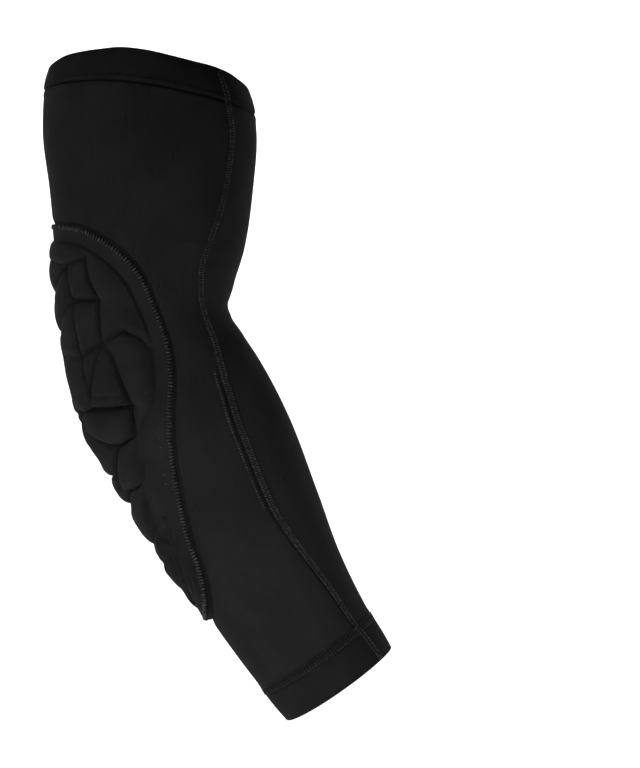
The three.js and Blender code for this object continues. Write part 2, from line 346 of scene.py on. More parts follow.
def smooth_table(rows: Sequence[NamedTuple], column: str, place: Array) -> Array:
    """Read a table's column on a smooth curve through its rows.

    Args:
        rows: Table rows, whose first field is the place.
        column: Name of the field to read.
        place: Places to read it at.

    Returns:
        The values there.
    """
    keys = np.array([row[0] for row in rows], float)
    values = np.array([getattr(row, column) for row in rows], float)
    before, after = np.r_[0, np.arange(len(rows) - 1)], np.r_[np.arange(1, len(rows)), len(rows) - 1]
    slopes = (values[after] - values[before]) / (keys[after] - keys[before])
    x = np.clip(np.asarray(place, float), keys[0], keys[-1])
    i = np.clip(np.searchsorted(keys, x) - 1, 0, len(rows) - 2)
    span = keys[i + 1] - keys[i]
    t = (x - keys[i]) / span
    ease = t * t * (3 - 2 * t)
    swing = slopes[i] * (1 - t) - slopes[i + 1] * t
    return values[i] + (values[i + 1] - values[i]) * ease + swing * span * t * (1 - t)


def smoothstep(low: float, high: float, value: Array) -> Array:
    """Ease from 0 at low to 1 at high."""
    t = np.clip((value - low) / (high - low), 0, 1)
    return t * t * (3 - 2 * t)


def half_turn(angle: Array) -> Array:
    """Bring angles in degrees into the turn from -180 to 180."""
    return (angle + 180) % 360 - 180


def bell(distance: Array, width: float) -> Array:
    """Bell that is 1 in the middle and falls off over a width."""
    return np.exp(-((distance / width) ** 2))


def folded(folds: Sequence[Fold], along: Array, around: Array) -> Array:
    """Height that folds add at places on the sleeve.

    Args:
        folds: The folds.
        along: Stations.
        around: Angles from the back of the arm, in degrees.

    Returns:
        Heights, in millimetres.
    """
    height = np.zeros(np.broadcast_shapes(np.shape(along), np.shape(around)))
    for fold in folds:
        turn = half_turn(around - fold.around)
        off = along - fold.along - fold.slant * turn
        height = height + fold.height * np.exp(-((off / fold.width) ** 2) - (turn / fold.length) ** 2)
    return height


def shoulder(share: Array) -> Array:
    """Round shoulder that rises from 0 to 1 as the share does."""
    return np.sin(np.clip(share, 0, 1) * (math.pi / 2))


@dataclass(frozen=True)
class Arm:
    """Form of the bent arm that the sleeve is filled out to."""

    bend: float = math.radians(30)
    bend_radius: float = 110.0
    flat_radius: float = 43.0

    def axis(self, along: Array) -> tuple[Array, Array]:
        """Find points of the arm's axis.

        Args:
            along: Stations down the axis.

        Returns:
            The points, and the directions from them to the front of the arm.
        """
        half_arc = self.bend_radius * self.bend / 2
        start = self.bend_radius * math.tan(self.bend / 2)
        turn = np.clip((along + half_arc) / self.bend_radius, 0, self.bend)
        straight = along + half_arc - turn * self.bend_radius
        none = np.zeros_like(turn)
        front = np.stack([np.cos(turn), none, np.sin(turn)], -1)
        down = np.stack([np.sin(turn), none, -np.cos(turn)], -1)
        point = np.stack(
            [self.bend_radius * (1 - np.cos(turn)), none, start - self.bend_radius * np.sin(turn)], -1
        )
        return point + down * straight[..., None], front

    def surface(self, along: Array, around: Array, lift: Array | float) -> Array:
        """Find points on the sleeve's outside, or lifted off it.

        Args:
            along: Stations.
            around: Angles from the back of the arm, in degrees.
            lift: Distances off the outside, along the section's normal.

        Returns:
            The points, in millimetres.
        """
        along, around, lift = np.broadcast_arrays(along, around, lift)
        angle = np.radians(around)
        point, front = self.axis(along)
        back_depth = smooth_table(SECTIONS, "back", along)
        front_depth = smooth_table(SECTIONS, "front", along)
        depth = np.where(np.cos(angle) > 0, back_depth, front_depth)
        side = smooth_table(SECTIONS, "side", along)
        steep, flank = np.cos(angle) / depth, np.sin(angle) / side
        length = np.hypot(steep, flank)
        backward = depth * np.cos(angle) + lift * steep / length
        sideways = side * np.sin(angle) + lift * flank / length
        inner_side = np.array([0.0, -1.0, 0.0])
        return point - front * backward[..., None] + inner_side * sideways[..., None]

    def flat(self, along: Array, around: Array) -> Array:
        """Lay places on the sleeve flat, in millimetres, for measuring across them."""
        return np.stack(np.broadcast_arrays(along, np.radians(around) * self.flat_radius), -1)


ARM = Arm()


class Trace:
    """A polyline on the laid-flat sleeve, that places can be measured from."""

    SHORTEST = 1e-9

    def __init__(self, points: Array) -> None:
        """Keep the line's points, one row of (along, across) each."""
        self.start = points[:-1]
        self.step = points[1:] - points[:-1]

    def nearest(self, places: Array) -> tuple[Array, Array]:
        """Find the nearest point of the line to each place.

        Args:
            places: Places laid flat, of shape (..., 2).

        Returns:
            The distances and the nearest points.
        """
        best = np.full(places.shape[:-1], np.inf)
        point = np.zeros(places.shape)
        for start, step in zip(self.start, self.step):
            share = np.clip(((places - start) @ step) / max(float(step @ step), self.SHORTEST), 0, 1)
            candidate = start + share[..., None] * step
            distance = np.linalg.norm(places - candidate, axis=-1)
            closer = distance < best
            best = np.where(closer, distance, best)
            point = np.where(closer[..., None], candidate, point)
        return best, point


class PadForm:
    """Outline and relief of the moulded foam pad."""

    BORDER = 8.0
    BORDER_BEVEL = 7.0
    EDGE_BEVEL = 2.5
    BEVEL = 6.5
    BEVEL_LEAN = 3.8
    LEAN_AROUND = (5, 30)
    LEAN_ALONG = (5, -35)
    SIDE_GAIN = 0.3
    SIDE_RUN = (10, 40)
    CREASE = 1.6
    CREASE_SHARE = 0.3
    GROOVE_EASE = 4
    BLEND = 3.0
    NEAR = 1e-6
    STATIONS = 160

    def __init__(self) -> None:
        """Lay out the pad's sewn edge."""
        self.top = PAD_EDGE[0].along
        self.end = PAD_EDGE[-1].along
        along = np.linspace(self.top, self.end, self.STATIONS)
        reach = self.reach(along)
        inner = np.stack([along, reach], -1)
        outer = np.stack([along, -reach], -1)[::-1]
        self.outline = np.concatenate([inner, outer])
        closed = np.concatenate([self.outline, self.outline[:1]])
        self.edge = Trace(ARM.flat(closed[:, 0], closed[:, 1]))

    def reach(self, along: Array) -> Array:
        """How far round the pad's edge is at these stations, in degrees."""
        return smooth_table(PAD_EDGE, "reach", along)

    def outside(self, along: Array, around: Array) -> Array:
        """Signed distance from the pad's edge, for angles in any turn.

        Args:
            along: Stations.
            around: Angles from the back of the arm, in degrees.

        Returns:
            Distances, positive outside the pad.
        """
        wrapped = half_turn(around)
        distance, _ = self.edge.nearest(ARM.flat(along, wrapped))
        within = (along > self.top) & (along < self.end) & (np.abs(wrapped) < self.reach(along))
        return np.where(within, -distance, distance)

    def inset(self, distance: float) -> Array:
        """Places of a line inside the pad's edge.

        Args:
            distance: How far inside, in millimetres.

        Returns:
            One row of (along, around) for each place.
        """
        flat = ARM.flat(self.outline[:, 0], self.outline[:, 1])
        run = np.roll(flat, -1, 0) - np.roll(flat, 1, 0)
        inward = np.stack([run[:, 1], -run[:, 0]], -1) / np.linalg.norm(run, axis=-1)[:, None]
        moved = flat + inward * distance
        return np.stack([moved[:, 0], np.degrees(moved[:, 1] / ARM.flat_radius)], -1)

    def off_face(self, distance: float, reach: float) -> Array:
        """Directions off the pad's face along a line inside its edge.

        Args:
            distance: How far inside the edge the line lies, in millimetres.
            reach: How far to its two sides the face is measured.

        Returns:
            One row of (x, y, z) for each place of the line.
        """
        lines = [self.inset(distance + step) for step in (-reach, 0.0, reach)]
        outer, middle, inner = (ARM.surface(*line.T, self.lift(*line.T)) for line in lines)
        run = np.roll(middle, -1, 0) - np.roll(middle, 1, 0)
        normal = np.cross(run, inner - outer)
        off_arm = ARM.surface(*lines[1].T, 1.0) - ARM.surface(*lines[1].T, 0.0)
        outward = np.sign(np.sum(normal * off_arm, -1))
        return normal * (outward / np.linalg.norm(normal, axis=-1))[:, None]

    def cells(self, along: Array, around: Array) -> Array:
        """Height of the cells as a share of their full height.

        The cells lie like scales: the one above a groove ends steeply and the one below it rises slowly.

        Args:
            along: Stations.
            around: Angles from the back of the arm, in degrees.

        Returns:
            Shares from 0, at the bottom of a groove, to 1.
        """
        places = ARM.flat(along, around)
        lean = self.BEVEL_LEAN * smoothstep(*self.LEAN_AROUND, np.abs(around))
        drops = np.zeros(places.shape[:-1])
        for groove in GROOVES:
            corners = np.array([CORNERS[name] for name in groove.through])
            distance, nearest = Trace(ARM.flat(corners[:, 0], corners[:, 1])).nearest(places)
            below = (places[..., 0] - nearest[..., 0]) / np.maximum(distance, self.NEAR)
            rise = self.flank(distance, self.BEVEL + lean * below)
            drops = drops + (groove.depth * (1 - rise)) ** self.BLEND
        return 1 - np.minimum(drops ** (1 / self.BLEND), 1)

    def flank(self, distance: Array, bevel: Array | float) -> Array:
        """Rise of a cell's flank from 0 at its foot to 1: a narrow crease under a round shoulder."""
        crease = smoothstep(0, self.CREASE, distance)
        return self.CREASE_SHARE * crease + (1 - self.CREASE_SHARE) * shoulder(distance / bevel)

    def lift(self, along: Array, around: Array) -> Array:
        """Height of the pad's face over the sleeve's outside, in millimetres.

        Args:
            along: Stations.
            around: Angles from the back of the arm, in degrees.

        Returns:
            Heights.
        """
        inside = np.maximum(-self.outside(along, around), 0)
        edge = shoulder(inside / self.EDGE_BEVEL)
        border = (smooth_table(RELIEF, "border", along) + folded(TUCKS, along, around)) * edge
        gain = 1 + self.SIDE_GAIN * smoothstep(*self.SIDE_RUN, np.abs(around))
        return border + gain * smooth_table(RELIEF, "cells", along) * self.swelling(along, around)

    def swelling(self, along: Array, around: Array) -> Array:
        """Height of the cells inside the border, from 0 on it and in the grooves to 1."""
        bevel = self.BORDER_BEVEL + self.BEVEL_LEAN * smoothstep(*self.LEAN_ALONG, along)
        return self.cells(along, around) * self.flank(self.past_border(along, around), bevel)

    def past_border(self, along: Array, around: Array) -> Array:
        """Distance of places inside the flat border's inner edge, in millimetres; negative on it.

        Args:
            along: Stations.
            around: Angles from the back of the arm, in degrees.

        Returns:
            Distances.
        """
        margin = smooth_table(RELIEF, "margin", along)
        margin = np.where(around > 0, margin, np.minimum(margin, self.BORDER))
        return np.maximum(-self.outside(along, around), 0) - margin

    def grooved(self, along: Array, around: Array) -> Array:
        """How deep in a groove between cells, or in a tuck, places are.

        Args:
            along: Stations.
            around: Angles from the back of the arm, in degrees.

        Returns:
            Shares from 0, on a cell or the flat border, to 1.
        """
        inside = smoothstep(0, self.GROOVE_EASE, self.past_border(along, around))
        between = (1 - self.cells(along, around)) * inside
        return np.maximum(between, np.clip(-folded(TUCKS, along, around), 0, 1))


PAD_FORM = PadForm()


@dataclass
class Patch:
    """A grid of points with the place of each on the cloth, in millimetres, and other traits of it."""

    points: Array
    cloth: Array
    traits: dict[str, Array] = field(default_factory=dict)


def add_object(name: str, data: bpy.types.ID) -> bpy.types.Object:
    """Put a new object in the scene.

    Args:
        name: The object's name.
        data: Its mesh, light or camera.

    Returns:
        The object, at the origin.
    """
    made = bpy.data.objects.new(name, data)
    bpy.context.scene.collection.objects.link(made)
    return made


class MeshMaker:
    """Turns patches of points into mesh objects."""

    MERGE = 1e-6

    @staticmethod
    def quads(rows: int, columns: int, first: int) -> Array:
        """Number the corners of a grid's faces.

        Args:
            rows: Rows of points.
            columns: Points in a row.
            first: Number of the grid's first point.

        Returns:
            One row of four point numbers for each face.
        """
        numbers = np.arange(rows * columns).reshape(rows, columns) + first
        corners = [numbers[:-1, :-1], numbers[:-1, 1:], numbers[1:, 1:], numbers[1:, :-1]]
        return np.stack([corner.ravel() for corner in corners], -1)

    @classmethod
    def build(
        cls, name: str, patches: Sequence[Patch], keep: Array | None = None, fill: bool = False
    ) -> bpy.types.Object:
        """Make an object of patches that share their edges.

        Args:
            name: The piece's name.
            patches: Grids of points.
            keep: Which faces to keep, or None for all of them.
            fill: Whether to close the openings that are left.

        Returns:
            The object, at the origin, with its cloth places as its UV map, in metres.
        """
        points, cloth, faces, first = [], [], [], 0
        for patch in patches:
            rows, columns = patch.points.shape[:2]
            points.append(patch.points.reshape(-1, 3) * MM)
            cloth.append(patch.cloth.reshape(-1, 2) * MM)
            faces.append(cls.quads(rows, columns, first))
            first += rows * columns
        all_faces = np.concatenate(faces)
        if keep is not None:
            all_faces = all_faces[keep]
        mesh = bpy.data.meshes.new(name)
        mesh.from_pydata(np.concatenate(points).tolist(), [], all_faces.tolist())
        uv = mesh.uv_layers.new(name="cloth")
        uv.data.foreach_set("uv", np.concatenate(cloth)[all_faces.ravel()].astype(np.float32).ravel())
        for trait in patches[0].traits:
            values = np.concatenate([patch.traits[trait].ravel() for patch in patches])
            stored = mesh.attributes.new(trait, "FLOAT", "POINT")
            stored.data.foreach_set("value", values.astype(np.float32))
        cls.merge(mesh, fill)
        return add_object(name, mesh)

    @classmethod
    def merge(cls, mesh: bpy.types.Mesh, fill: bool) -> None:
        """Join points that coincide, drop loose ones and turn the faces outwards.

        Args:
            mesh: The mesh to mend.
            fill: Whether to close its openings.
        """
        work = bmesh.new()
        work.from_mesh(mesh)
        bmesh.ops.remove_doubles(work, verts=work.verts, dist=cls.MERGE)
        loose = [vert for vert in work.verts if not vert.link_faces]
        bmesh.ops.delete(work, geom=loose, context="VERTS")
        if fill:
            rims = [edge for edge in work.edges if edge.is_boundary]
            bmesh.ops.holes_fill(work, edges=rims, sides=0)
        bmesh.ops.recalc_face_normals(work, faces=work.faces)
        work.to_mesh(mesh)
        work.free()

    @staticmethod
    def settle(piece: bpy.types.Object) -> None:
        """Turn a piece and its modifiers into a plain mesh.

        Args:
            piece: The piece.
        """
        graph = bpy.context.evaluated_depsgraph_get()
        made = bpy.data.meshes.new_from_object(piece.evaluated_get(graph))
        piece.modifiers.clear()
        old, piece.data = piece.data, made
        made.name = piece.name
        bpy.data.meshes.remove(old)

    @staticmethod
    def smooth(piece: bpy.types.Object, crease_degrees: float = 60.0) -> None:
        """Shade a piece smooth, with its sharper edges kept."""
        piece.data.shade_smooth()
        piece.data.set_sharp_from_angle(angle=math.radians(crease_degrees))


def plug(tree: bpy.types.NodeTree, socket: bpy.types.NodeSocket, value: object) -> None:
    """Link a socket to a wire or another socket, or set it to a plain value.

    Args:
        tree: The tree that holds the socket.
        socket: The input to set.
        value: What it gets.
    """
    source = value.socket if isinstance(value, Wire) else value
    if isinstance(source, bpy.types.NodeSocket):
        tree.links.new(source, socket)
    else:
        socket.default_value = source


def add_node(tree: bpy.types.NodeTree, kind: str, settings: Settings, values: Values) -> bpy.types.Node:
    """Add a node to a tree.

    Args:
        tree: The tree.
        kind: The node's type.
        settings: Its properties, which are set first.
        values: What its sockets are set or linked to, by name or number.

    Returns:
        The node.
    """
    made = tree.nodes.new(kind)
    for key, value in settings.items():
        setattr(made, key, value)
    for key, value in values.items():
        plug(tree, made.inputs[key], value)
    return made


class Wire:
    """A shader socket whose arithmetic adds Math nodes."""

    def __init__(self, kit: "ShaderKit", socket: bpy.types.NodeSocket) -> None:
        self.kit = kit
        self.socket = socket

    def __add__(self, other: "Wire | float") -> "Wire":
        """Sum."""
        return self.kit.math("ADD", self, other)

    def __sub__(self, other: "Wire | float") -> "Wire":
        """Difference."""
        return self.kit.math("SUBTRACT", self, other)

    def __mul__(self, other: "Wire | float") -> "Wire":
        """Product."""
        return self.kit.math("MULTIPLY", self, other)

    def __radd__(self, other: float) -> "Wire":
        """Sum with a number on the left."""
        return self.kit.math("ADD", other, self)

    def __rsub__(self, other: float) -> "Wire":
        """Difference with a number on the left."""
        return self.kit.math("SUBTRACT", other, self)

    def __rmul__(self, other: float) -> "Wire":
        """Product with a number on the left."""
        return self.kit.math("MULTIPLY", other, self)

    def sine(self) -> "Wire":
        """Sine of the value."""
        return self.kit.math("SINE", self, 0.0)

    def size(self) -> "Wire":
        """The value without its sign."""
        return self.kit.math("ABSOLUTE", self, 0.0)

    def over(self, edge: "Wire | float") -> "Wire":
        """1 where the value is over an edge, else 0."""
        return self.kit.math("GREATER_THAN", self, edge)

    def under(self, edge: "Wire | float") -> "Wire":
        """1 where the value is under an edge, else 0."""
        return self.kit.math("LESS_THAN", self, edge)

    def eased(self, low: float, high: float) -> "Wire":
        """Ease from 0 at low to 1 at high.

        Args:
            low: Value where the step starts.
            high: Value where it ends.

        Returns:
            Shares from 0 to 1.
        """
        settings = {"interpolation_type": "SMOOTHSTEP"}
        values = {"Value": self, "From Min": low, "From Max": high}
        return self.kit.wire("ShaderNodeMapRange", settings, values, "Result")


@dataclass(frozen=True)
class SeamShadeCrease:
    """A crease that a seam draws in the cloth, in millimetres: a bump, and painted shade that darkens the
    colour in it.

    It lies at a distance that the mesh keeps as a trait, and fades in from a station along the cloth.
    """

    FADE = 25

    trait: str
    at: float
    width: float
    depth: float
    since: float = -400.0


class ShaderKit:
    """Builds one material's nodes."""

    def __init__(self, name: str) -> None:
        """Start a material with a Principled surface.

        Args:
            name: The material's name.
        """
        self.material = bpy.data.materials.new(name)
        self.material.use_nodes = True
        self.tree = self.material.node_tree
        self.surface = self.tree.nodes["Principled BSDF"]

    def wire(self, kind: str, settings: Settings, values: Values, out: str) -> Wire:
        """Add a node and take one of its outputs."""
        return Wire(self, add_node(self.tree, kind, settings, values).outputs[out])

    def math(self, operation: str, left: "Wire | float", right: "Wire | float") -> Wire:
        """Add a Math node and take its value."""
        return self.wire("ShaderNodeMath", {"operation": operation}, {0: left, 1: right}, "Value")

    def cloth(self) -> tuple[Wire, Wire, Wire]:
        """Read the place on the cloth.

        Returns:
            The place as a vector, how far across it is and how far along, in metres.
        """
        place = self.wire("ShaderNodeUVMap", {"uv_map": "cloth"}, {}, "UV")
        parts = add_node(self.tree, "ShaderNodeSeparateXYZ", {}, {"Vector": place})
        return place, Wire(self, parts.outputs["X"]), Wire(self, parts.outputs["Y"])

    def trait(self, name: str) -> Wire:
        """Read a trait that the mesh stores at its points."""
        return self.wire("ShaderNodeAttribute", {"attribute_name": name}, {}, "Fac")

    def scaled(self, colour: Wire, factor: Wire) -> Wire:
        """Darken or brighten a colour."""
        values = {"Vector": colour, "Scale": factor}
        return self.wire("ShaderNodeVectorMath", {"operation": "SCALE"}, values, "Vector")

    def creases_and_shade(self, marks: Sequence[SeamShadeCrease], along: Wire) -> Wire:
        """Draw the crease beside each seam, as a depth that both bumps the surface and darkens the colour
        with painted shade.

        Args:
            marks: The creases.
            along: How far along the cloth each place is, in metres.

        Returns:
            How deep in a crease each place is, from 0 to 1.
        """
        depth = self.wire("ShaderNodeValue", {}, {}, "Value")
        for mark in marks:
            off = (self.trait(mark.trait) - mark.at).size()
            reached = along.eased(mark.since * MM, (mark.since + mark.FADE) * MM)
            depth = depth + mark.depth * reached * (1.0 - off.eased(0.0, mark.width))
        return depth.eased(0.0, 1.0)

    def noise(self, place: Wire, scale: Vector, detail: float) -> Wire:
        """Read soft noise at a stretched place on the cloth.

        Args:
            place: Place as a vector.
            scale: How often the noise repeats to a metre, along each axis.
            detail: Octaves.

        Returns:
            Noise from 0 to 1.
        """
        settings = {"operation": "MULTIPLY"}
        stretched = self.wire("ShaderNodeVectorMath", settings, {0: place, 1: scale}, "Vector")
        values = {"Vector": stretched, "Scale": 1.0, "Detail": detail}
        return self.wire("ShaderNodeTexNoise", {"noise_dimensions": "3D"}, values, "Fac")

    def tint(self, factor: Wire, low: Wire | Colour, high: Wire | Colour) -> Wire:
        """Mix two colours by a factor.

        Args:
            factor: 0 for the first colour, 1 for the second.
            low: First colour, linear.
            high: Second colour, linear.

        Returns:
            The mixed colour.
        """
        made = add_node(self.tree, "ShaderNodeMix", {"data_type": "RGBA"}, {"Factor": factor})
        ends = [socket for socket in made.inputs if socket.type == "RGBA"]
        for socket, colour in zip(ends, (low, high)):
            plug(self.tree, socket, colour if isinstance(colour, Wire) else (*colour, 1.0))
        result = next(socket for socket in made.outputs if socket.type == "RGBA")
        return Wire(self, result)

    def bump(self, height: Wire, distance: float) -> None:
        """Bend the surface's normal by a height, given as a share of a distance in metres."""
        values = {"Height": height, "Distance": distance, "Strength": 1.0}
        self.feed("Normal", self.wire("ShaderNodeBump", {}, values, "Normal"))

    def feed(self, socket: str, value: Wire | float) -> None:
        """Set or link one of the surface's sockets."""
        plug(self.tree, self.surface.inputs[socket], value)


@dataclass(frozen=True)
class KnitFinish:
    """Fine matte stretch knit: thin upright ribs, with faint streaks where the yarn varies."""

    STREAKS = Vector((1100.0, 75.0, 1.0))
    STREAK_EASE = (0.25, 0.45)
    CLOUDS = Vector((45.0, 30.0, 1.0))
    CLOUD_EASE = (0.3, 0.7)
    OCTAVES = 2.0

    name: str
    dark: Colour
    light: Colour
    marks: tuple[SeamShadeCrease, ...] = ()
    rib: float = 0.6
    course: float = 0.5
    relief: float = 0.00012
    roughness: float = 0.78
    streak_roughness: float = 0.1
    specular: float = 0.05
    sheen: float = 0.003
    sheen_roughness: float = 0.45
    streak_tone: float = 0.5
    cloud_tone: float = 0.4
    rib_tone: float = 0.05
    rib_height: float = 0.3
    course_height: float = 0.2
    streak_height: float = 0.9
    crease_height: float = 2.0

    def build(self) -> bpy.types.Material:
        """Make the material.

        Returns:
            The material.
        """
        kit = ShaderKit(self.name)
        place, across, along = kit.cloth()
        ribs = (across * (2 * math.pi / (self.rib * MM))).sine()
        courses = (along * (2 * math.pi / (self.course * MM))).sine()
        streaks = kit.noise(place, self.STREAKS, self.OCTAVES).eased(*self.STREAK_EASE)
        clouds = kit.noise(place, self.CLOUDS, self.OCTAVES).eased(*self.CLOUD_EASE)
        shade = streaks * self.streak_tone + clouds * self.cloud_tone + ribs * self.rib_tone + self.rib_tone
        # Painted shade: each seam's crease darkens the knit's colour as well as bumping it.
        creases_and_shade = kit.creases_and_shade(self.marks, along)
        kit.feed("Base Color", kit.scaled(kit.tint(shade, self.dark, self.light), 1.0 - creases_and_shade))
        kit.feed("Roughness", self.roughness + self.streak_roughness * streaks)
        kit.feed("Specular IOR Level", self.specular)
        kit.feed("Sheen Weight", self.sheen)
        kit.feed("Sheen Roughness", self.sheen_roughness)
        knit = ribs * self.rib_height + courses * self.course_height + streaks * self.streak_height
        kit.bump(knit - creases_and_shade * self.crease_height, self.relief)
        return kit.material


@dataclass(frozen=True)
class PadFinish:
    """Brushed knit moulded over foam, with a fine nap and lint; painted shade darkens it in the grooves,
    beside its sewn edge and towards its lower end.
    """

    NAP = Vector((1500.0, 1500.0, 1.0))
    NAP_OCTAVES = 3.0
    CLOUDS = Vector((60.0, 60.0, 1.0))
    CLOUD_OCTAVES = 2.0
    CLOUD_EASE = (0.3, 0.7)
    GROOVE_SHADE_EASE = (0.25, 0.95)

    name: str
    dark: Colour
    light: Colour
    lint: Colour
    marks: tuple[SeamShadeCrease, ...]
    groove_shade: float = 0.4
    tail_shade: float = 0.36
    tail_shade_run: tuple[float, float] = (0.055, 0.095)
    nap_tone: float = 0.5
    cloud_tone: float = 0.5
    lint_scale: float = 420.0
    lint_radius: float = 0.16
    lint_rarity: float = 0.95
    roughness: float = 0.85
    nap_roughness: float = 0.1
    specular: float = 0.06
    sheen: float = 0.006
    sheen_roughness: float = 0.5
    relief: float = 0.00025
    cloud_height: float = 0.6
    lint_height: float = 0.8

    def specks(self, kit: ShaderKit, place: Wire) -> Wire:
        """Scatter specks of lint.

        Args:
            kit: The material's kit.
            place: Place on the cloth as a vector.

        Returns:
            1 on a speck, else 0.
        """
        values = {"Vector": place, "Scale": self.lint_scale}
        grains = add_node(kit.tree, "ShaderNodeTexVoronoi", {"feature": "F1"}, values)
        near = Wire(kit, grains.outputs["Distance"]).under(self.lint_radius)
        pick = kit.wire("ShaderNodeSeparateColor", {}, {"Color": grains.outputs["Color"]}, "Red")
        return near * pick.over(self.lint_rarity)

    def build(self) -> bpy.types.Material:
        """Make the material.

        Returns:
            The material.
        """
        kit = ShaderKit(self.name)
        place, _, along = kit.cloth()
        nap = kit.noise(place, self.NAP, self.NAP_OCTAVES)
        clouds = kit.noise(place, self.CLOUDS, self.CLOUD_OCTAVES).eased(*self.CLOUD_EASE)
        cloth = kit.tint(nap * self.nap_tone + clouds * self.cloud_tone, self.dark, self.light)
        lint = self.specks(kit, place)
        # Painted shade: darker in the grooves between cells and in the tucks.
        groove_shade = kit.trait("grooved").eased(*self.GROOVE_SHADE_EASE) * self.groove_shade
        # Painted shade: darker towards the pad's lower end.
        tail_shade = along.eased(*self.tail_shade_run) * self.tail_shade
        creases_and_shade = kit.creases_and_shade(self.marks, along)
        # All the painted shade, from the seam's crease, the grooves and the lower end, as one factor on the
        # colour.
        light = (1.0 - creases_and_shade) * (1.0 - groove_shade) * (1.0 - tail_shade)
        kit.feed("Base Color", kit.scaled(kit.tint(lint, cloth, self.lint), light))
        kit.feed("Roughness", self.roughness + self.nap_roughness * nap)
        kit.feed("Specular IOR Level", self.specular)
        kit.feed("Sheen Weight", self.sheen)
        kit.feed("Sheen Roughness", self.sheen_roughness)
        kit.bump(nap + clouds * self.cloud_height + lint * self.lint_height, self.relief)
        return kit.material


@dataclass(frozen=True)
class ThreadFinish:
    """Twisted sewing thread."""

    STRANDS = Vector((700.0, 700.0, 700.0))
    STRAND_OCTAVES = 2.0
    STRAND_EASE = (0.38, 0.66)
    FIBRES = Vector((4000.0, 4000.0, 4000.0))
    FIBRE_OCTAVES = 1.0

    name: str
    dark: Colour
    light: Colour
    roughness: float = 0.62
    specular: float = 0.15
    sheen: float = 0.02
    relief: float = 0.0001

    def build(self) -> bpy.types.Material:
        """Make the material.

        Returns:
            The material.
        """
        kit = ShaderKit(self.name)
        place = kit.wire("ShaderNodeTexCoord", {}, {}, "Object")
        shade = kit.noise(place, self.STRANDS, self.STRAND_OCTAVES).eased(*self.STRAND_EASE)
        kit.feed("Base Color", kit.tint(shade, self.dark, self.light))
        kit.feed("Roughness", self.roughness)
        kit.feed("Specular IOR Level", self.specular)
        kit.feed("Sheen Weight", self.sheen)
        kit.bump(kit.noise(place, self.FIBRES, self.FIBRE_OCTAVES), self.relief)
        return kit.material


class Finishes:
    """The materials that the pieces share."""

    # Crease beside each seam: a bump, with painted shade darkening the colour in it.
    SLEEVE_MARKS = (
        SeamShadeCrease("from_pad", 1.3, 1.2, 0.6),
        SeamShadeCrease("from_pad", 3.6, 0.8, 0.25),
        SeamShadeCrease("from_seam", -2.1, 0.8, 0.3),
        SeamShadeCrease("from_seam", -2.5, 1.2, 0.5, since=10),
        SeamShadeCrease("from_seam", 2.1, 0.7, 0.4),
        SeamShadeCrease("from_upper", 0.2, 0.9, 0.5),
        SeamShadeCrease("from_wrist", 1.6, 0.8, 0.45),
    )
    UPPER_MARKS = (SeamShadeCrease("from_join", 0.0, 0.6, 0.5), SeamShadeCrease("from_join", 2.8, 0.8, 0.5))
    WRIST_MARKS = (SeamShadeCrease("from_join", 3.4, 0.8, 0.45),)
    PAD_MARKS = (SeamShadeCrease("from_edge", 0.7, 1.5, 0.65),)

    def __init__(self) -> None:
        """Make each finish once."""
        self.sleeve = KnitFinish(
            "sleeve_knit", (0.0045, 0.0045, 0.0047), (0.0095, 0.0094, 0.0096), self.SLEEVE_MARKS
        ).build()
        self.upper = KnitFinish(
            "band_knit",
            (0.0034, 0.0034, 0.0036),
            (0.0075, 0.0074, 0.0076),
            self.UPPER_MARKS,
            relief=0.00008,
        ).build()
        self.wrist = KnitFinish(
            "wrist_knit", (0.0037, 0.0037, 0.0039), (0.0078, 0.0077, 0.0079), self.WRIST_MARKS
        ).build()
        self.pad = PadFinish(
            "pad_cloth",
            (0.0063, 0.0063, 0.0065),
            (0.0108, 0.0109, 0.0109),
            (0.022, 0.022, 0.022),
            self.PAD_MARKS,
        ).build()
        self.thread = ThreadFinish("thread", (0.006, 0.006, 0.0063), (0.042, 0.042, 0.043)).build()
        self.dim_thread = ThreadFinish("dim_thread", (0.003, 0.003, 0.0032), (0.015, 0.015, 0.015)).build()


def dress(piece: bpy.types.Object, finish: bpy.types.Material) -> None:
    """Give a piece its finish and let it ride on the part's one body.

    Args:
        piece: The finished piece.
        finish: Its material.
    """
    piece.data.materials.clear()
    piece.data.materials.append(finish)
    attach(piece, BODY)
    LOG.info("%s: %d faces", piece.name, len(piece.data.polygons))


class End(Enum):
    """The two ends of the sleeve."""

    UPPER = "upper_band"
    WRIST = "wrist_band"


@dataclass(frozen=True)
class Rims:
    """Edges of the tube's pieces, as stations that vary round the arm."""

    wrist_middle: float = 188.7
    wrist_back_lower: float = 2.6
    wrist_sides_lower: float = 0.4
    wrist_band: float = 20.0

    def seam(self, end: End, around: Array) -> Array:
        """Where a band is sewn on.

        Args:
            end: Which band.
            around: Angles from the back of the arm, in degrees.

        Returns:
            Stations.
        """
        if end is End.UPPER:
            return -smooth_table(UPPER_BAND, "seam", self.from_back(around))
        return self.rim(end, around) - self.wrist_band

    def rim(self, end: End, around: Array) -> Array:
        """Where a band's free edge is.

        Args:
            end: Which band.
            around: Angles from the back of the arm, in degrees.

        Returns:
            Stations.
        """
        if end is End.UPPER:
            return -smooth_table(UPPER_BAND, "rim", self.from_back(around))
        angle = np.radians(around)
        slant = self.wrist_back_lower * np.cos(angle) - self.wrist_sides_lower * np.cos(2 * angle)
        return self.wrist_middle + slant

    @staticmethod
    def from_back(around: Array) -> Array:
        """Angle from the back of the arm on either side, from 0 to 180 degrees."""
        return np.abs(half_turn(np.asarray(around)))


RIMS = Rims()


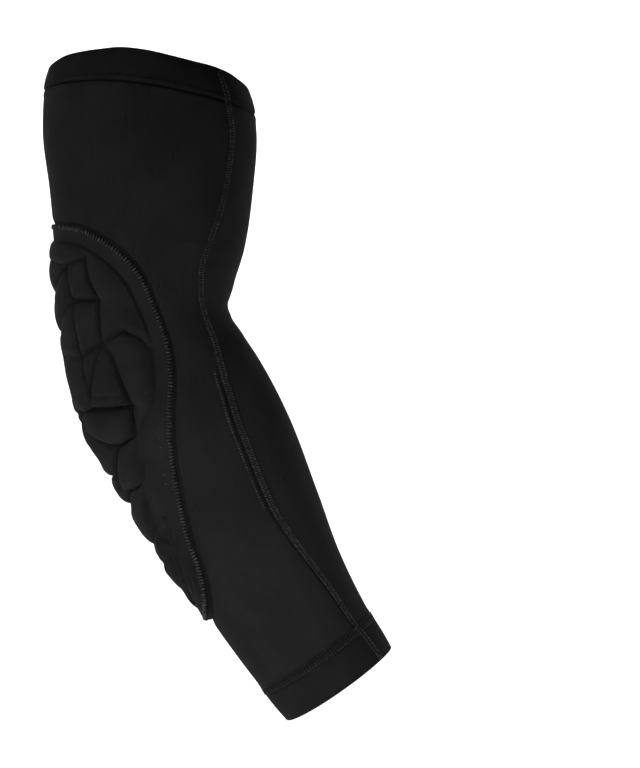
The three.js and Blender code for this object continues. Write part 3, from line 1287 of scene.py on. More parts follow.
class SeamLine:
    """The closing seam's line down the inner side of the arm."""

    STATIONS = 120

    def __init__(self) -> None:
        """Lay the seam's line flat."""
        self.along = np.linspace(ARM_SEAM[0].along, ARM_SEAM[-1].along, self.STATIONS)
        self.around = smooth_table(ARM_SEAM, "around", self.along)
        self.trace = Trace(ARM.flat(self.along, self.around))

    def at(self, along: Array) -> Array:
        """How far round the seam is at these stations, in degrees."""
        return smooth_table(ARM_SEAM, "around", along)

    def turn(self, along: Array, around: Array) -> Array:
        """Angles of places from the seam, in degrees, negative on the side of the pad."""
        return half_turn(around - self.at(along))

    def distance(self, along: Array, around: Array) -> Array:
        """Distance of places from the seam, in millimetres, for angles in any turn."""
        beside = self.at(along) + self.turn(along, around)
        return self.trace.nearest(ARM.flat(along, beside))[0]


SEAM_LINE = SeamLine()


@dataclass
class Sleeve:
    """The knit tube from band to band, with a window for the pad."""

    rows: int = 190
    columns: int = 170
    wall: float = 1.4
    gap: float = 0.4
    welt: float = 0.5
    welt_half_width: float = 2.4
    welt_top: float = 0.6
    ditch: float = 0.5
    ditch_width: float = 0.45
    draw_in: float = 0.9
    draw_width: float = 2.2
    hem_welt: float = 0.2
    hem_run: tuple[float, float] = (2.6, 4.0)
    hem_tuck: float = 0.7
    hem_tuck_width: float = 0.9
    settle_steps: int = 6
    hem_rows: tuple[float, ...] = (0.0, 0.4, 0.8, 1.2, 1.7, 2.2, 2.6, 3.0, 3.4, 3.8, 4.3, 5.0, 5.8)
    seam_turns: tuple[float, ...] = (0.0, 0.4, 0.8, 1.3, 1.8, 2.3, 2.8, 3.4, 4.0, 4.8, 5.8, 7.2)
    flat_size: tuple[float, float] = (0.30, 0.30)
    flat_area: float = 0.052

    def lift(self, along: Array, around: Array) -> Array:
        """Height of the cloth over the arm's plain form, in millimetres.

        Args:
            along: Stations.
            around: Angles from the back of the arm, in degrees.

        Returns:
            Heights: the hems, the welt of the seam, soft folds, and the pull of the pad's sewn edge.
        """
        seam = SEAM_LINE.distance(along, around)
        flank = smoothstep(self.welt_half_width * self.welt_top, self.welt_half_width, seam)
        height = self.welt * (1 - flank)
        height = height - self.ditch * self.welt * bell(seam, self.ditch_width)
        height = height + self.hem(along - RIMS.seam(End.UPPER, around))
        height = height + self.hem(RIMS.seam(End.WRIST, around) - along)
        height = height + folded(FOLDS, along, around)
        outside = PAD_FORM.outside(along, around)
        return height - self.draw_in * bell(outside, self.draw_width)

    def hem(self, distance: Array) -> Array:
        """Height of the sewn hem at a distance from a band: tucked in, then a low welt."""
        tuck = self.hem_tuck * bell(distance, self.hem_tuck_width)
        return self.hem_welt * (1 - smoothstep(*self.hem_run, distance)) - tuck

    def grid(self) -> tuple[Array, Array, Array]:
        """Lay the tube's grid out from the closing seam, with close rows by the hems and the seam.

        Returns:
            Stations, angles, and angles from the seam, in degrees.
        """
        hem, edge = np.array(self.hem_rows), np.array(self.seam_turns)
        side = np.linspace(edge[-1], 360 - edge[-1], self.columns)[1:-1]
        turn = np.concatenate([edge, side, 360 - edge[::-1]])[None, :]
        share = np.linspace(0, 1, self.rows)[1:-1, None]
        around = SEAM_LINE.at(np.array([0.0])) + turn
        for _ in range(self.settle_steps):
            top = RIMS.seam(End.UPPER, around[0]) + self.gap
            bottom = RIMS.seam(End.WRIST, around[-1]) - self.gap
            middle = top + hem[-1] + (bottom - top - 2 * hem[-1]) * share
            along = np.concatenate([top + hem[:, None], middle, bottom - hem[::-1, None]])
            around = SEAM_LINE.at(along) + turn
        return along, around, np.broadcast_to(turn, along.shape)

    def build(self) -> bpy.types.Object:
        """Make the knit tube.

        Returns:
            The piece.
        """
        along, around, turn = self.grid()
        outside = PAD_FORM.outside(along, around)
        inside = outside < 0
        corners = [inside[:-1, :-1], inside[:-1, 1:], inside[1:, 1:], inside[1:, :-1]]
        keep = ~np.logical_and.reduce(corners)
        along, around = self.trim(along, around, inside)
        points = ARM.surface(along, around, self.lift(along, around))
        cloth = np.stack([np.radians(turn) * ARM.flat_radius, along], -1)
        patch = Patch(points, cloth, self.traits(along, around))
        piece = MeshMaker.build("sleeve_knit", [patch], keep.ravel())
        self.face_outwards(piece)
        solid = piece.modifiers.new("wall", "SOLIDIFY")
        solid.thickness = self.wall * MM
        solid.offset = -1.0
        MeshMaker.settle(piece)
        MeshMaker.smooth(piece)
        return piece

    @staticmethod
    def traits(along: Array, around: Array) -> dict[str, Array]:
        """Distances from the seams, in millimetres.

        Args:
            along: Stations.
            around: Angles from the back of the arm, in degrees.

        Returns:
            Distances by name; the one from the closing seam is negative on the side of the pad.
        """
        side = np.sign(SEAM_LINE.turn(along, around))
        return {
            "from_pad": PAD_FORM.outside(along, around),
            "from_seam": side * SEAM_LINE.distance(along, around),
            "from_upper": along - RIMS.seam(End.UPPER, around),
            "from_wrist": RIMS.seam(End.WRIST, around) - along,
        }

    @staticmethod
    def trim(along: Array, around: Array, inside: Array) -> tuple[Array, Array]:
        """Move the points that lie inside the pad's edge out onto it.

        Args:
            along: Stations of the grid.
            around: Angles of the grid.
            inside: Which points lie inside.

        Returns:
            The grid's new stations and angles.
        """
        wrapped = half_turn(around)
        _, nearest = PAD_FORM.edge.nearest(ARM.flat(along, wrapped)[inside])
        along, around = along.copy(), around.copy()
        turns = np.degrees(nearest[:, 1] / ARM.flat_radius)
        along[inside] = nearest[:, 0]
        around[inside] += turns - wrapped[inside]
        return along, around

    @staticmethod
    def face_outwards(piece: bpy.types.Object) -> None:
        """Turn the open tube's faces away from the arm's axis.

        Args:
            piece: The tube.
        """
        face = max(piece.data.polygons, key=lambda polygon: polygon.center.z)
        radial = Vector((face.center.x, face.center.y, 0))
        if face.normal.dot(radial) < 0:
            piece.data.flip_normals()

    def dress(self, finishes: Finishes) -> bpy.types.Object:
        """Build the tube and give it its finish.

        Args:
            finishes: The shared materials.

        Returns:
            The piece.
        """
        piece = self.build()
        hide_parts("sleeve")
        dress(piece, finishes.sleeve)
        return piece


@dataclass
class PadSwell:
    """Cloth simulation of the pad's cover: the foam presses it out between the grooves that hold it."""

    rows: int = 170
    columns: int = 120
    frames: int = 12
    pressure: float = 3000.0
    quality: int = 4
    mass: float = 0.05
    stiffness: float = 20.0
    bending: float = 2.0
    hold: tuple[float, float] = (0.1, 0.4)
    cap: float = 1.5
    rise: Array | None = None

    def simulate(self) -> None:
        self.rise = np.zeros((self.rows, self.columns))
        along = np.linspace(PAD_FORM.top, PAD_FORM.end, self.rows)[:, None]
        around = PAD_FORM.reach(along) * np.linspace(1, -1, self.columns)[None, :]
        along = np.broadcast_to(along, around.shape)
        lift = PAD_FORM.lift(along, around)
        start = ARM.surface(along, around, lift)
        outward = ARM.surface(along, around, lift + 1) - start
        held = 1 - smoothstep(*self.hold, PAD_FORM.swelling(along, around))
        cover = self.cover(start, held, outward)
        end = self.run(cover).reshape(start.shape) / MM
        rise = np.sum((end - start) * outward, -1)
        self.rise = self.cap * np.tanh(np.maximum(rise, 0) / self.cap) * (1 - held)
        LOG.info("pad cover rose %.2f mm at most, %.2f on average", rise.max(), rise.mean())
        bpy.data.meshes.remove(cover.data)

    def cover(self, points: Array, held: Array, outward: Array) -> bpy.types.Object:
        """Make the cover as a sheet of cloth that the grooves and the border hold.

        Args:
            points: Grid of points, in millimetres.
            held: How firmly each point is held, from 0 to 1.
            outward: Direction off the sleeve at each point.

        Returns:
            The cover, with its Cloth modifier.
        """
        mesh = bpy.data.meshes.new("pad_cover")
        faces = MeshMaker.quads(self.rows, self.columns, 0)
        mesh.from_pydata((points.reshape(-1, 3) * MM).tolist(), [], faces.tolist())
        middle = len(faces) // 2
        if mesh.polygons[middle].normal.dot(Vector(outward.reshape(-1, 3)[faces[middle][0]])) < 0:
            mesh.flip_normals()
        cover = add_object("pad_cover", mesh)
        sewn = cover.vertex_groups.new(name="sewn")
        for number, weight in enumerate(held.ravel().tolist()):
            sewn.add([number], weight, "REPLACE")
        cloth = cover.modifiers.new("cloth", "CLOTH")
        cloth.settings.vertex_group_mass = "sewn"
        cloth.settings.quality = self.quality
        cloth.settings.mass = self.mass
        cloth.settings.tension_stiffness = self.stiffness
        cloth.settings.compression_stiffness = self.stiffness
        cloth.settings.bending_stiffness = self.bending
        cloth.settings.use_pressure = True
        cloth.settings.uniform_pressure_force = self.pressure
        cloth.settings.effector_weights.gravity = 0.0
        cloth.collision_settings.use_collision = False
        cloth.point_cache.frame_start = 1
        cloth.point_cache.frame_end = self.frames
        return cover

    def run(self, cover: bpy.types.Object) -> Array:
        """Step the simulation through its frames.

        Args:
            cover: The cover.

        Returns:
            Where its points end up, in metres.
        """
        scene = bpy.context.scene
        for frame_number in range(1, self.frames + 1):
            scene.frame_set(frame_number)
        settled = cover.evaluated_get(bpy.context.evaluated_depsgraph_get()).data
        points = np.zeros(len(settled.vertices) * 3, np.float32)
        settled.vertices.foreach_get("co", points)
        cover.modifiers.clear()
        scene.frame_set(1)
        return points.reshape(-1, 3).astype(float)

    def at(self, along: Array, share: Array) -> Array:
        """Read how far the cover rose.

        Args:
            along: Stations.
            share: Shares of the pad's reach, from 1 on the inner side to -1.

        Returns:
            Heights, in millimetres.
        """
        row = (along - PAD_FORM.top) / (PAD_FORM.end - PAD_FORM.top) * (self.rows - 1)
        column = (1 - share) / 2 * (self.columns - 1)
        row, column = np.broadcast_arrays(row, column)
        i = np.clip(row.astype(int), 0, self.rows - 2)
        j = np.clip(column.astype(int), 0, self.columns - 2)
        down, across = row - i, column - j
        upper = self.rise[i, j] * (1 - across) + self.rise[i, j + 1] * across
        lower = self.rise[i + 1, j] * (1 - across) + self.rise[i + 1, j + 1] * across
        return upper * (1 - down) + lower * down


@dataclass
class ElbowPad:
    """The quilted foam pad sewn into the sleeve's window."""

    rows: int = 330
    columns: int = 250
    back_columns: int = 12
    end_rows: tuple[float, ...] = (0.15, 0.4, 0.6)
    wall: float = 1.4
    fill: float = 0.9

    def build(self) -> bpy.types.Object:
        """Make the pad.

        Returns:
            The piece.
        """
        even = np.linspace(PAD_FORM.top, PAD_FORM.end, self.rows)
        close = np.array(self.end_rows)
        along = np.sort(np.concatenate([even, PAD_FORM.top + close, PAD_FORM.end - close]))[:, None]
        share = np.linspace(1, -1, self.columns)[None, :]
        across = PAD_FORM.reach(along) * share
        swell = PadSwell()
        swell.simulate()
        lift = PAD_FORM.lift(np.broadcast_to(along, across.shape), across) + swell.at(along, share)
        face = self.patch(along, across, lift)
        back_across = PAD_FORM.reach(along) * np.linspace(1, -1, self.back_columns)[None, :]
        back = self.patch(along, back_across, -self.wall)
        patches = [face, back]
        for side in (0, -1):
            points = np.stack([face.points[:, side], back.points[:, side]])
            cloth = np.stack([face.cloth[:, side], back.cloth[:, side]])
            none = np.zeros(points.shape[:2])
            patches.append(Patch(points, cloth, {"from_edge": none, "grooved": none}))
        piece = MeshMaker.build("elbow_pad_foam", patches, fill=True)
        MeshMaker.smooth(piece)
        return piece

    @staticmethod
    def patch(along: Array, around: Array, lift: Array | float) -> Patch:
        """Make a patch of the pad.

        Args:
            along: Stations.
            around: Angles from the back of the arm, in degrees.
            lift: Height over the sleeve's outside, in millimetres.

        Returns:
            The patch, with its distances from the edge and its grooves as traits.
        """
        along = np.broadcast_to(along, around.shape)
        cloth = np.stack([np.radians(around) * ARM.flat_radius, along], -1)
        from_edge = np.maximum(-PAD_FORM.outside(along, around), 0)
        traits = {"from_edge": from_edge, "grooved": PAD_FORM.grooved(along, around)}
        return Patch(ARM.surface(along, around, lift), cloth, traits)

    def dress(self, finishes: Finishes) -> bpy.types.Object:
        """Build the pad and give it its finish.

        Args:
            finishes: The shared materials.

        Returns:
            The piece.
        """
        piece = self.build()
        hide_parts("elbow_pad")
        dress(piece, finishes.pad)
        return piece


@dataclass
class Band:
    """A band of knit, folded double over its free edge and sewn round an end of the sleeve."""

    end: End
    flat_size: tuple[float, float]
    flat_area: float
    taper: float
    columns: int = 240
    rows: int = 14
    fold_steps: int = 8
    wall: float = 2.4
    proud: float = 0.4
    puff: float = 0.35
    tuck: float = 0.7
    tuck_share: float = 0.07
    row_bias: float = 1.5
    lap: float = 1.5
    lap_wall: float = 0.4
    welt_height: float = 0.4
    welt_run: tuple[float, float] = (1.4, 2.6)

    def outer(self, share: Array) -> Array:
        """Height of the band's outside at shares of the way from the seam to the fold, in millimetres."""
        tuck = self.tuck * bell(share, self.tuck_share)
        return self.proud - self.taper * share + self.puff * np.sin(math.pi * share) - tuck

    def share(self, along: Array, around: Array) -> Array:
        """Share of the way from the seam, 0, to the fold, 1, that places are at; negative on the sleeve."""
        seam, rim = RIMS.seam(self.end, around), RIMS.rim(self.end, around)
        return (along - seam) / (rim - seam - np.sign(rim - seam) * self.wall / 2)

    def welt(self, along: Array, around: Array) -> Array:
        """Height that the closing seam adds where it crosses the band, in millimetres."""
        flank = smoothstep(*self.welt_run, SEAM_LINE.distance(along, around))
        return self.welt_height * (1 - flank)

    def profile(self) -> tuple[Array, Array, Array]:
        """Trace the band's closed section: out to the fold, round it, back, and a lap inside the sleeve.

        Returns:
            Shares of the way from the seam, 0, to the start of the fold, 1; how far past that place the
            fold and the lap go; and heights, in millimetres. Each is a loop that ends where it starts.
        """
        share = np.linspace(0, 1, self.rows) ** self.row_bias
        outer = self.outer(share)
        half = self.wall / 2
        turn = np.linspace(math.pi / 2, -math.pi / 2, self.fold_steps + 2)[1:-1]
        inner = (self.proud - self.taper * share - self.wall)[::-1]
        flat = np.zeros(self.rows)
        lap_past = np.array([-self.lap, -self.lap, 0.0])
        lap_lift = inner[-1] + np.array([0.0, self.lap_wall, self.lap_wall])
        shares = np.concatenate([share, np.ones(self.fold_steps), share[::-1], np.zeros(3), share[:1]])
        past = np.concatenate([flat, half * np.cos(turn), flat, lap_past, flat[:1]])
        lifts = np.concatenate([outer, outer[-1] - half + half * np.sin(turn), inner, lap_lift, outer[:1]])
        return shares, past, lifts

    def build(self) -> bpy.types.Object:
        """Make the band.

        Returns:
            The piece.
        """
        shares, past, lifts = self.profile()
        around = np.linspace(0, 360, self.columns + 1)[None, :]
        seam, rim = RIMS.seam(self.end, around), RIMS.rim(self.end, around)
        away = np.sign(rim - seam)
        fold = rim - away * self.wall / 2
        along = seam + (fold - seam) * shares[:, None] + away * past[:, None]
        outside = (np.arange(len(shares)) < self.rows)[:, None]
        welt = self.welt(along, np.broadcast_to(around, along.shape)) * outside
        points = ARM.surface(along, around, lifts[:, None] + welt)
        run = np.cumsum(np.r_[0, np.hypot(np.diff(shares) * self.flat_size[1] / MM, np.diff(lifts))])
        across = np.radians(np.broadcast_to(around, along.shape)) * ARM.flat_radius
        cloth = np.stack([across, np.broadcast_to(run[:, None], along.shape)], -1)
        points[-1] = points[0]
        patch = Patch(points, cloth, {"from_join": np.abs(along - seam)})
        piece = MeshMaker.build(f"{self.end.value}_knit", [patch])
        MeshMaker.smooth(piece)
        return piece

    def dress(self, finishes: Finishes) -> bpy.types.Object:
        """Build the band and give it its finish.

        Args:
            finishes: The shared materials.

        Returns:
            The piece.
        """
        piece = self.build()
        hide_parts(self.end.value)
        finish = finishes.upper if self.end is End.UPPER else finishes.wrist
        dress(piece, finish)
        return piece


@dataclass(frozen=True)
class StitchShape:
    """One stitch: short thread beads at its two sides with a cross thread between, or one bead alone."""

    BEAD_SEGMENTS = 6
    RUNG_SEGMENTS = 5
    RINGS = 4
    RAISED = 0.1

    width: float
    sides: tuple[int, ...] = (-1, 1)
    bead: tuple[float, float, float] = (0.95, 0.65, 0.5)
    rung: float = 0.17

    def ball(self, work: bmesh.types.BMesh, segments: int, size: Point, across: float) -> None:
        """Add a stretched ball of thread.

        Args:
            work: The stitch so far.
            segments: Faces round the ball.
            size: Its length, width and height.
            across: How far to the side it lies.
        """
        made = bmesh.ops.create_uvsphere(work, u_segments=segments, v_segments=self.RINGS, radius=0.5)
        bmesh.ops.scale(work, verts=made["verts"], vec=Vector(size))
        bmesh.ops.translate(work, verts=made["verts"], vec=Vector((0, across, self.RAISED)))

    def build(self, name: str) -> bpy.types.Object:
        """Make the stitch lying along Y, with Z off the cloth.

        Args:
            name: Name of the helper object.

        Returns:
            The helper object, in metres.
        """
        work = bmesh.new()
        for side in self.sides:
            self.ball(work, self.BEAD_SEGMENTS, self.bead, side * self.width / 2)
        if len(self.sides) > 1:
            self.ball(work, self.RUNG_SEGMENTS, (self.rung * 2, self.width, self.rung * 2), 0)
        bmesh.ops.scale(work, verts=work.verts, vec=Vector((MM, MM, MM)))
        mesh = bpy.data.meshes.new(name)
        work.to_mesh(mesh)
        work.free()
        mesh.shade_smooth()
        return add_object(name, mesh)


class StitchTree:
    """Geometry Nodes that sew a stitch at each step of a line on the cloth."""

    NORMAL = "off_cloth"
    INPUTS = {"Pitch": "Float", "Rung": "Object", "Sway": "Float", "Seed": "Int", "Thread": "Material"}

    def __init__(self) -> None:
        """Build the tree, with its sizes as named inputs."""
        self.tree = bpy.data.node_groups.new("ladder_stitches", "GeometryNodeTree")
        face = self.tree.interface
        face.new_socket("Geometry", in_out="INPUT", socket_type="NodeSocketGeometry")
        self.inputs = {
            name: face.new_socket(name, in_out="INPUT", socket_type=f"NodeSocket{kind}").identifier
            for name, kind in self.INPUTS.items()
        }
        face.new_socket("Geometry", in_out="OUTPUT", socket_type="NodeSocketGeometry")
        self.wire_up()

    def add(self, kind: str, settings: Settings, values: Values) -> bpy.types.Node:
        """Add a node to the tree."""
        return add_node(self.tree, kind, settings, values)

    def swayed(self, given: bpy.types.NodeOutputs) -> bpy.types.NodeSocket:
        """Turn each stitch a little at random.

        Args:
            given: The tree's inputs.

        Returns:
            The rotation about the direction off the cloth.
        """
        low = self.add("ShaderNodeMath", {"operation": "MULTIPLY"}, {0: given["Sway"], 1: -1.0})
        wobble = self.add("FunctionNodeRandomValue", {"data_type": "FLOAT"}, {"Seed": given["Seed"]})
        least, most = [socket for socket in wobble.inputs if socket.type == "VALUE" and socket.enabled]
        self.tree.links.new(low.outputs[0], least)
        self.tree.links.new(given["Sway"], most)
        value = next(socket for socket in wobble.outputs if socket.type == "VALUE" and socket.enabled)
        axis = self.add("ShaderNodeCombineXYZ", {}, {"Z": value})
        return self.add("FunctionNodeEulerToRotation", {}, {"Euler": axis.outputs[0]}).outputs[0]

    def wire_up(self) -> None:
        """Join the nodes: resample the line, stand a stitch at each point, and make it all one mesh."""
        given = self.add("NodeGroupInput", {}, {}).outputs
        curve = self.add("GeometryNodeMeshToCurve", {}, {"Mesh": given["Geometry"]})
        spaced = self.add(
            "GeometryNodeResampleCurve",
            {"mode": "LENGTH"},
            {"Curve": curve.outputs[0], "Length": given["Pitch"]},
        )
        tangent = self.add("GeometryNodeInputTangent", {}, {})
        stored = {"data_type": "FLOAT_VECTOR"}
        normal = self.add("GeometryNodeInputNamedAttribute", stored, {"Name": self.NORMAL})
        turn = self.add(
            "FunctionNodeAxesToRotation",
            {"primary_axis": "Z", "secondary_axis": "X"},
            {"Primary Axis": normal.outputs["Attribute"], "Secondary Axis": tangent.outputs[0]},
        )
        final = self.add(
            "FunctionNodeRotateRotation",
            {"rotation_space": "LOCAL"},
            {"Rotation": turn.outputs[0], "Rotate By": self.swayed(given)},
        )
        shape = self.add("GeometryNodeObjectInfo", {}, {"Object": given["Rung"]})
        rungs = self.add(
            "GeometryNodeInstanceOnPoints",
            {},
            {
                "Points": spaced.outputs[0],
                "Instance": shape.outputs["Geometry"],
                "Rotation": final.outputs[0],
            },
        )
        solid = self.add("GeometryNodeRealizeInstances", {}, {"Geometry": rungs.outputs[0]})
        sewn = self.add(
            "GeometryNodeSetMaterial", {}, {"Geometry": solid.outputs[0], "Material": given["Thread"]}
        )
        self.add("NodeGroupOutput", {}, {"Geometry": sewn.outputs[0]})


@dataclass
class StitchLine:
    """A line of stitches on the cloth."""

    name: str
    shape: StitchShape
    pitch: float
    sway: float
    seed: int
    height: float = 0.25

    def dress(
        self,
        tree: StitchTree,
        thread: bpy.types.Material,
        line: Array,
        lift: Array | float,
        closed: bool,
        normals: Array | None = None,
    ) -> bpy.types.Object:
        """Sew the stitches along a line.

        Args:
            tree: The stitches' node tree.
            thread: Their material.
            line: Places of the line, one row of (along, around) each.
            lift: Height of the cloth there, in millimetres.
            closed: Whether the line runs round to its start.
            normals: Directions off the cloth there; off the arm if there are none.

        Returns:
            The piece.
        """
        along, around = line[:, 0], line[:, 1]
        points = ARM.surface(along, around, np.asarray(lift) + self.height)
        if normals is None:
            normals = ARM.surface(along, around, 1.0) - ARM.surface(along, around, 0.0)
        count = len(points)
        edges = [(i, i + 1) for i in range(count - 1)] + ([(count - 1, 0)] if closed else [])
        mesh = bpy.data.meshes.new(self.name)
        mesh.from_pydata((points * MM).tolist(), edges, [])
        stored = mesh.attributes.new(StitchTree.NORMAL, "FLOAT_VECTOR", "POINT")
        stored.data.foreach_set("vector", normals.astype(np.float32).ravel())
        piece = add_object(self.name, mesh)
        helper = self.shape.build(f"{self.name}_rung")
        sewing = piece.modifiers.new("stitches", "NODES")
        sewing.node_group = tree.tree
        sizes = {"Pitch": self.pitch * MM, "Sway": self.sway, "Seed": self.seed}
        for name, value in {**sizes, "Rung": helper, "Thread": thread}.items():
            sewing[tree.inputs[name]] = value
        MeshMaker.settle(piece)
        bpy.data.objects.remove(helper)
        dress(piece, thread)
        return piece


class Run(NamedTuple):
    """A stretch of a line down the arm, and how far round from its guide it lies, in degrees."""

    start: float
    end: float
    places: int
    beside: float = 0.0

    def follow(self, guide: Callable[[Array], Array]) -> Array:
        """Places of the line, one row of (along, around) each, beside a guide that gives angles."""
        along = np.linspace(self.start, self.end, self.places)
        return np.stack([along, guide(along) + self.beside], -1)


class Stitching:
    """All the visible stitches: on the pad's edge and border, on and by the closing seam, at the wrist."""

    PAD_INSET = 1.3
    PAD_FACE = 1.0
    TACKS = Run(29, 58, 60, -9.5)
    ARM_SEAM = Run(-139, 185, 400)
    ARM_ROW = Run(20, 92, 90, -6.0)
    WRIST_PLACES = 180
    WRIST_PAST_SEAM = 0.9
    WRIST_LIFT = 0.15

    def __init__(self, sleeve: Sleeve, bands: Sequence[Band], finishes: Finishes) -> None:
        """Keep what the stitches are sewn on and with.

        Args:
            sleeve: The knit tube.
            bands: Its two bands.
            finishes: The shared materials.
        """
        self.sleeve = sleeve
        self.bands = bands
        self.finishes = finishes
        self.tree = StitchTree()

    def dress(self) -> list[bpy.types.Object]:
        """Sew every line of stitches."""
        return [self.pad_edge(), self.pad_tacks(), self.arm_seam(), self.arm_row(), self.wrist_seam()]

    def pad_edge(self) -> bpy.types.Object:
        """Sew the pad into its window.

        Returns:
            The piece.
        """
        shape = StitchShape(width=0.0, sides=(0,), bead=(0.85, 2.6, 0.8))
        line = StitchLine("pad_stitching", shape, pitch=1.65, sway=0.25, seed=4)
        places = PAD_FORM.inset(self.PAD_INSET)
        lift = PAD_FORM.lift(*places.T)
        normals = PAD_FORM.off_face(self.PAD_INSET, self.PAD_FACE)
        return line.dress(self.tree, self.finishes.thread, places, lift, closed=True, normals=normals)

    def pad_tacks(self) -> bpy.types.Object:
        """Sew the short row of single tacks on the inner side of the pad's border.

        Returns:
            The piece.
        """
        shape = StitchShape(width=0.0, sides=(0,), bead=(0.8, 0.7, 0.45))
        line = StitchLine("pad_tacking", shape, pitch=4.4, sway=0.4, seed=3, height=0.0)
        places = self.TACKS.follow(PAD_FORM.reach)
        lift = PAD_FORM.lift(*places.T)
        return line.dress(self.tree, self.finishes.thread, places, lift, closed=False)

    def arm_seam(self) -> bpy.types.Object:
        """Sew the closing seam over the sleeve and both bands, almost from rim to rim.

        Returns:
            The piece.
        """
        places = self.ARM_SEAM.follow(SEAM_LINE.at)
        along, around = places.T
        lift = self.sleeve.lift(along, around)
        for band in self.bands:
            share = band.share(along, around)
            over = band.outer(np.clip(share, 0, 1)) + band.welt(along, around)
            lift = np.where(share > 0, over, lift)
        line = StitchLine("arm_seam_stitching", StitchShape(width=2.5), pitch=1.25, sway=0.15, seed=7)
        return line.dress(self.tree, self.finishes.thread, places, lift, closed=False)

    def arm_row(self) -> bpy.types.Object:
        """Sew the row of single stitches that runs beside the closing seam on the forearm.

        Returns:
            The piece.
        """
        shape = StitchShape(width=0.0, sides=(0,), bead=(0.8, 1.3, 0.6))
        line = StitchLine("arm_row_stitching", shape, pitch=1.4, sway=0.4, seed=5, height=0.1)
        places = self.ARM_ROW.follow(SEAM_LINE.at)
        lift = self.sleeve.lift(*places.T)
        return line.dress(self.tree, self.finishes.thread, places, lift, closed=False)

    def wrist_seam(self) -> bpy.types.Object:
        """Sew the wrist band on, in a dimmer thread.

        Returns:
            The piece.
        """
        around = np.linspace(0, 360, self.WRIST_PLACES, endpoint=False)
        places = np.stack([RIMS.seam(End.WRIST, around) + self.WRIST_PAST_SEAM, around], -1)
        line = StitchLine("wrist_stitching", StitchShape(width=3.4), pitch=1.6, sway=0.2, seed=11)
        return line.dress(self.tree, self.finishes.dim_thread, places, self.WRIST_LIFT, closed=True)


class SoftLight(NamedTuple):
    """A square soft light: its place and what it faces, in metres, its width, watts and beam's angle."""

    name: str
    place: Point
    target: Point
    size: float
    power: float
    spread: float


LIGHTS = (
    SoftLight("key_light", (-0.4, -1.1, -1.05), (0.03, 0.0, -0.1), 0.4, 1.0, 40.0),
    SoftLight("side_light", (-1.1, -0.7, 0.35), (-0.03, 0.0, 0.06), 0.45, 0.32, 36.0),
    SoftLight("fill_light", (0.55, -1.4, -0.4), (0.1, 0.0, -0.13), 0.3, 0.26, 15.0),
    SoftLight("outer_light", (-0.15, 1.35, 0.55), (0.03, 0.0, -0.1), 0.5, 0.9, 35.0),
    SoftLight("backdrop_light", (0.1, 1.4, 1.6), (0.1, 3.4, -0.1), 1.8, 110.0, 180.0),
)


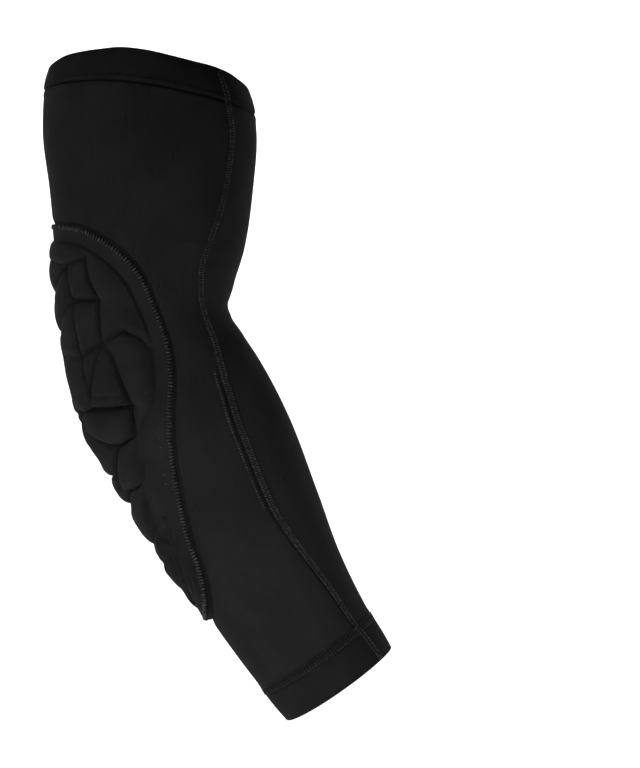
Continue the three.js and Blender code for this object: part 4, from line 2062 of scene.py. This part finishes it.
@dataclass
class Studio:
    """Pale sweep, soft lights and the camera."""

    SWEEP_RADII = (0.0, 1.2, 2.4, 2.9, 3.2, 3.35, 3.4, 3.4)
    SWEEP_HEIGHTS = (0.0, 0.0, 0.0, 0.05, 0.25, 0.6, 1.0, 4.0)
    SWEEP_PLACES = 97
    SWEEP_GRAIN = Vector((3.0, 3.0, 3.0))
    SWEEP_TONES = ((0.86, 0.86, 0.86), (0.9, 0.9, 0.9))

    distance: float = 1.5
    aim: tuple[float, float] = (0.0855, -0.013)
    frame_height: float = 0.384
    floor_z: float = -1.3
    floor_roughness: float = 0.9
    sensor: float = 36.0
    clip: tuple[float, float] = (0.01, 50.0)
    room_light: float = 0.03

    def build(self) -> None:
        """Make the camera, the sweep, the room's light and the lights."""
        self.camera()
        self.sweep()
        self.world()
        for light in LIGHTS:
            self.hang(light)
        bpy.context.scene.view_settings.view_transform = "Standard"

    def camera(self) -> None:
        """Place the camera level with the elbow, looking at the inner side of the arm."""
        data = bpy.data.cameras.new("camera")
        data.sensor_width = self.sensor
        data.lens = self.sensor * self.distance / self.frame_height
        data.clip_start, data.clip_end = self.clip
        camera = add_object("camera", data)
        camera.location = (self.aim[0], -self.distance, self.aim[1])
        camera.rotation_euler = (math.pi / 2, 0, 0)
        bpy.context.scene.camera = camera

    def sweep(self) -> None:
        """Lay a pale floor that curves up into a backdrop all round."""
        kit = ShaderKit("pale_sweep")
        place = kit.wire("ShaderNodeTexCoord", {}, {}, "Object")
        grain = kit.noise(place, self.SWEEP_GRAIN, 1.0)
        kit.feed("Base Color", kit.tint(grain, *self.SWEEP_TONES))
        kit.feed("Roughness", self.floor_roughness)
        radius = np.array(self.SWEEP_RADII)
        height = np.array(self.SWEEP_HEIGHTS)[:, None] + self.floor_z
        turn = np.radians(np.linspace(0, 360, self.SWEEP_PLACES))
        x, y = np.outer(radius, np.cos(turn)), np.outer(radius, np.sin(turn))
        points = np.stack([x, y, np.broadcast_to(height, x.shape)], -1)
        floor = MeshMaker.build("floor", [Patch(points / MM, np.zeros((*points.shape[:2], 2)))])
        floor.data.shade_smooth()
        floor.data.materials.append(kit.material)

    def world(self) -> None:
        """Fill the room with soft white light."""
        world = bpy.data.worlds.new("soft_room")
        world.use_nodes = True
        ground = world.node_tree.nodes["Background"]
        ground.inputs["Color"].default_value = (1.0, 1.0, 1.0, 1.0)
        ground.inputs["Strength"].default_value = self.room_light
        bpy.context.scene.world = world

    @staticmethod
    def hang(light: SoftLight) -> None:
        """Hang a soft light.

        Args:
            light: The light.
        """
        data = bpy.data.lights.new(light.name, "AREA")
        data.size = light.size
        data.spread = math.radians(light.spread)
        data.energy = light.power
        lamp = add_object(light.name, data)
        lamp.location = light.place
        beam = Vector(light.target) - Vector(light.place)
        lamp.rotation_euler = beam.to_track_quat("-Z", "Y").to_euler()


def main() -> None:
    """Build every piece, dress it and set the studio up."""
    logging.basicConfig(level=logging.INFO, format="%(name)s: %(message)s")
    Studio().build()
    finishes = Finishes()
    sleeve = Sleeve()
    upper = Band(End.UPPER, flat_size=(0.29, 0.019), flat_area=0.0042, taper=1.5)
    wrist = Band(End.WRIST, flat_size=(0.19, 0.021), flat_area=0.0038, taper=0.0)
    pieces = [part.dress(finishes) for part in (sleeve, ElbowPad(), upper, wrist)]
    pieces += Stitching(sleeve, (upper, wrist), finishes).dress()
    LOG.info("%d pieces", len(pieces))


if __name__ == "__main__":
    main()
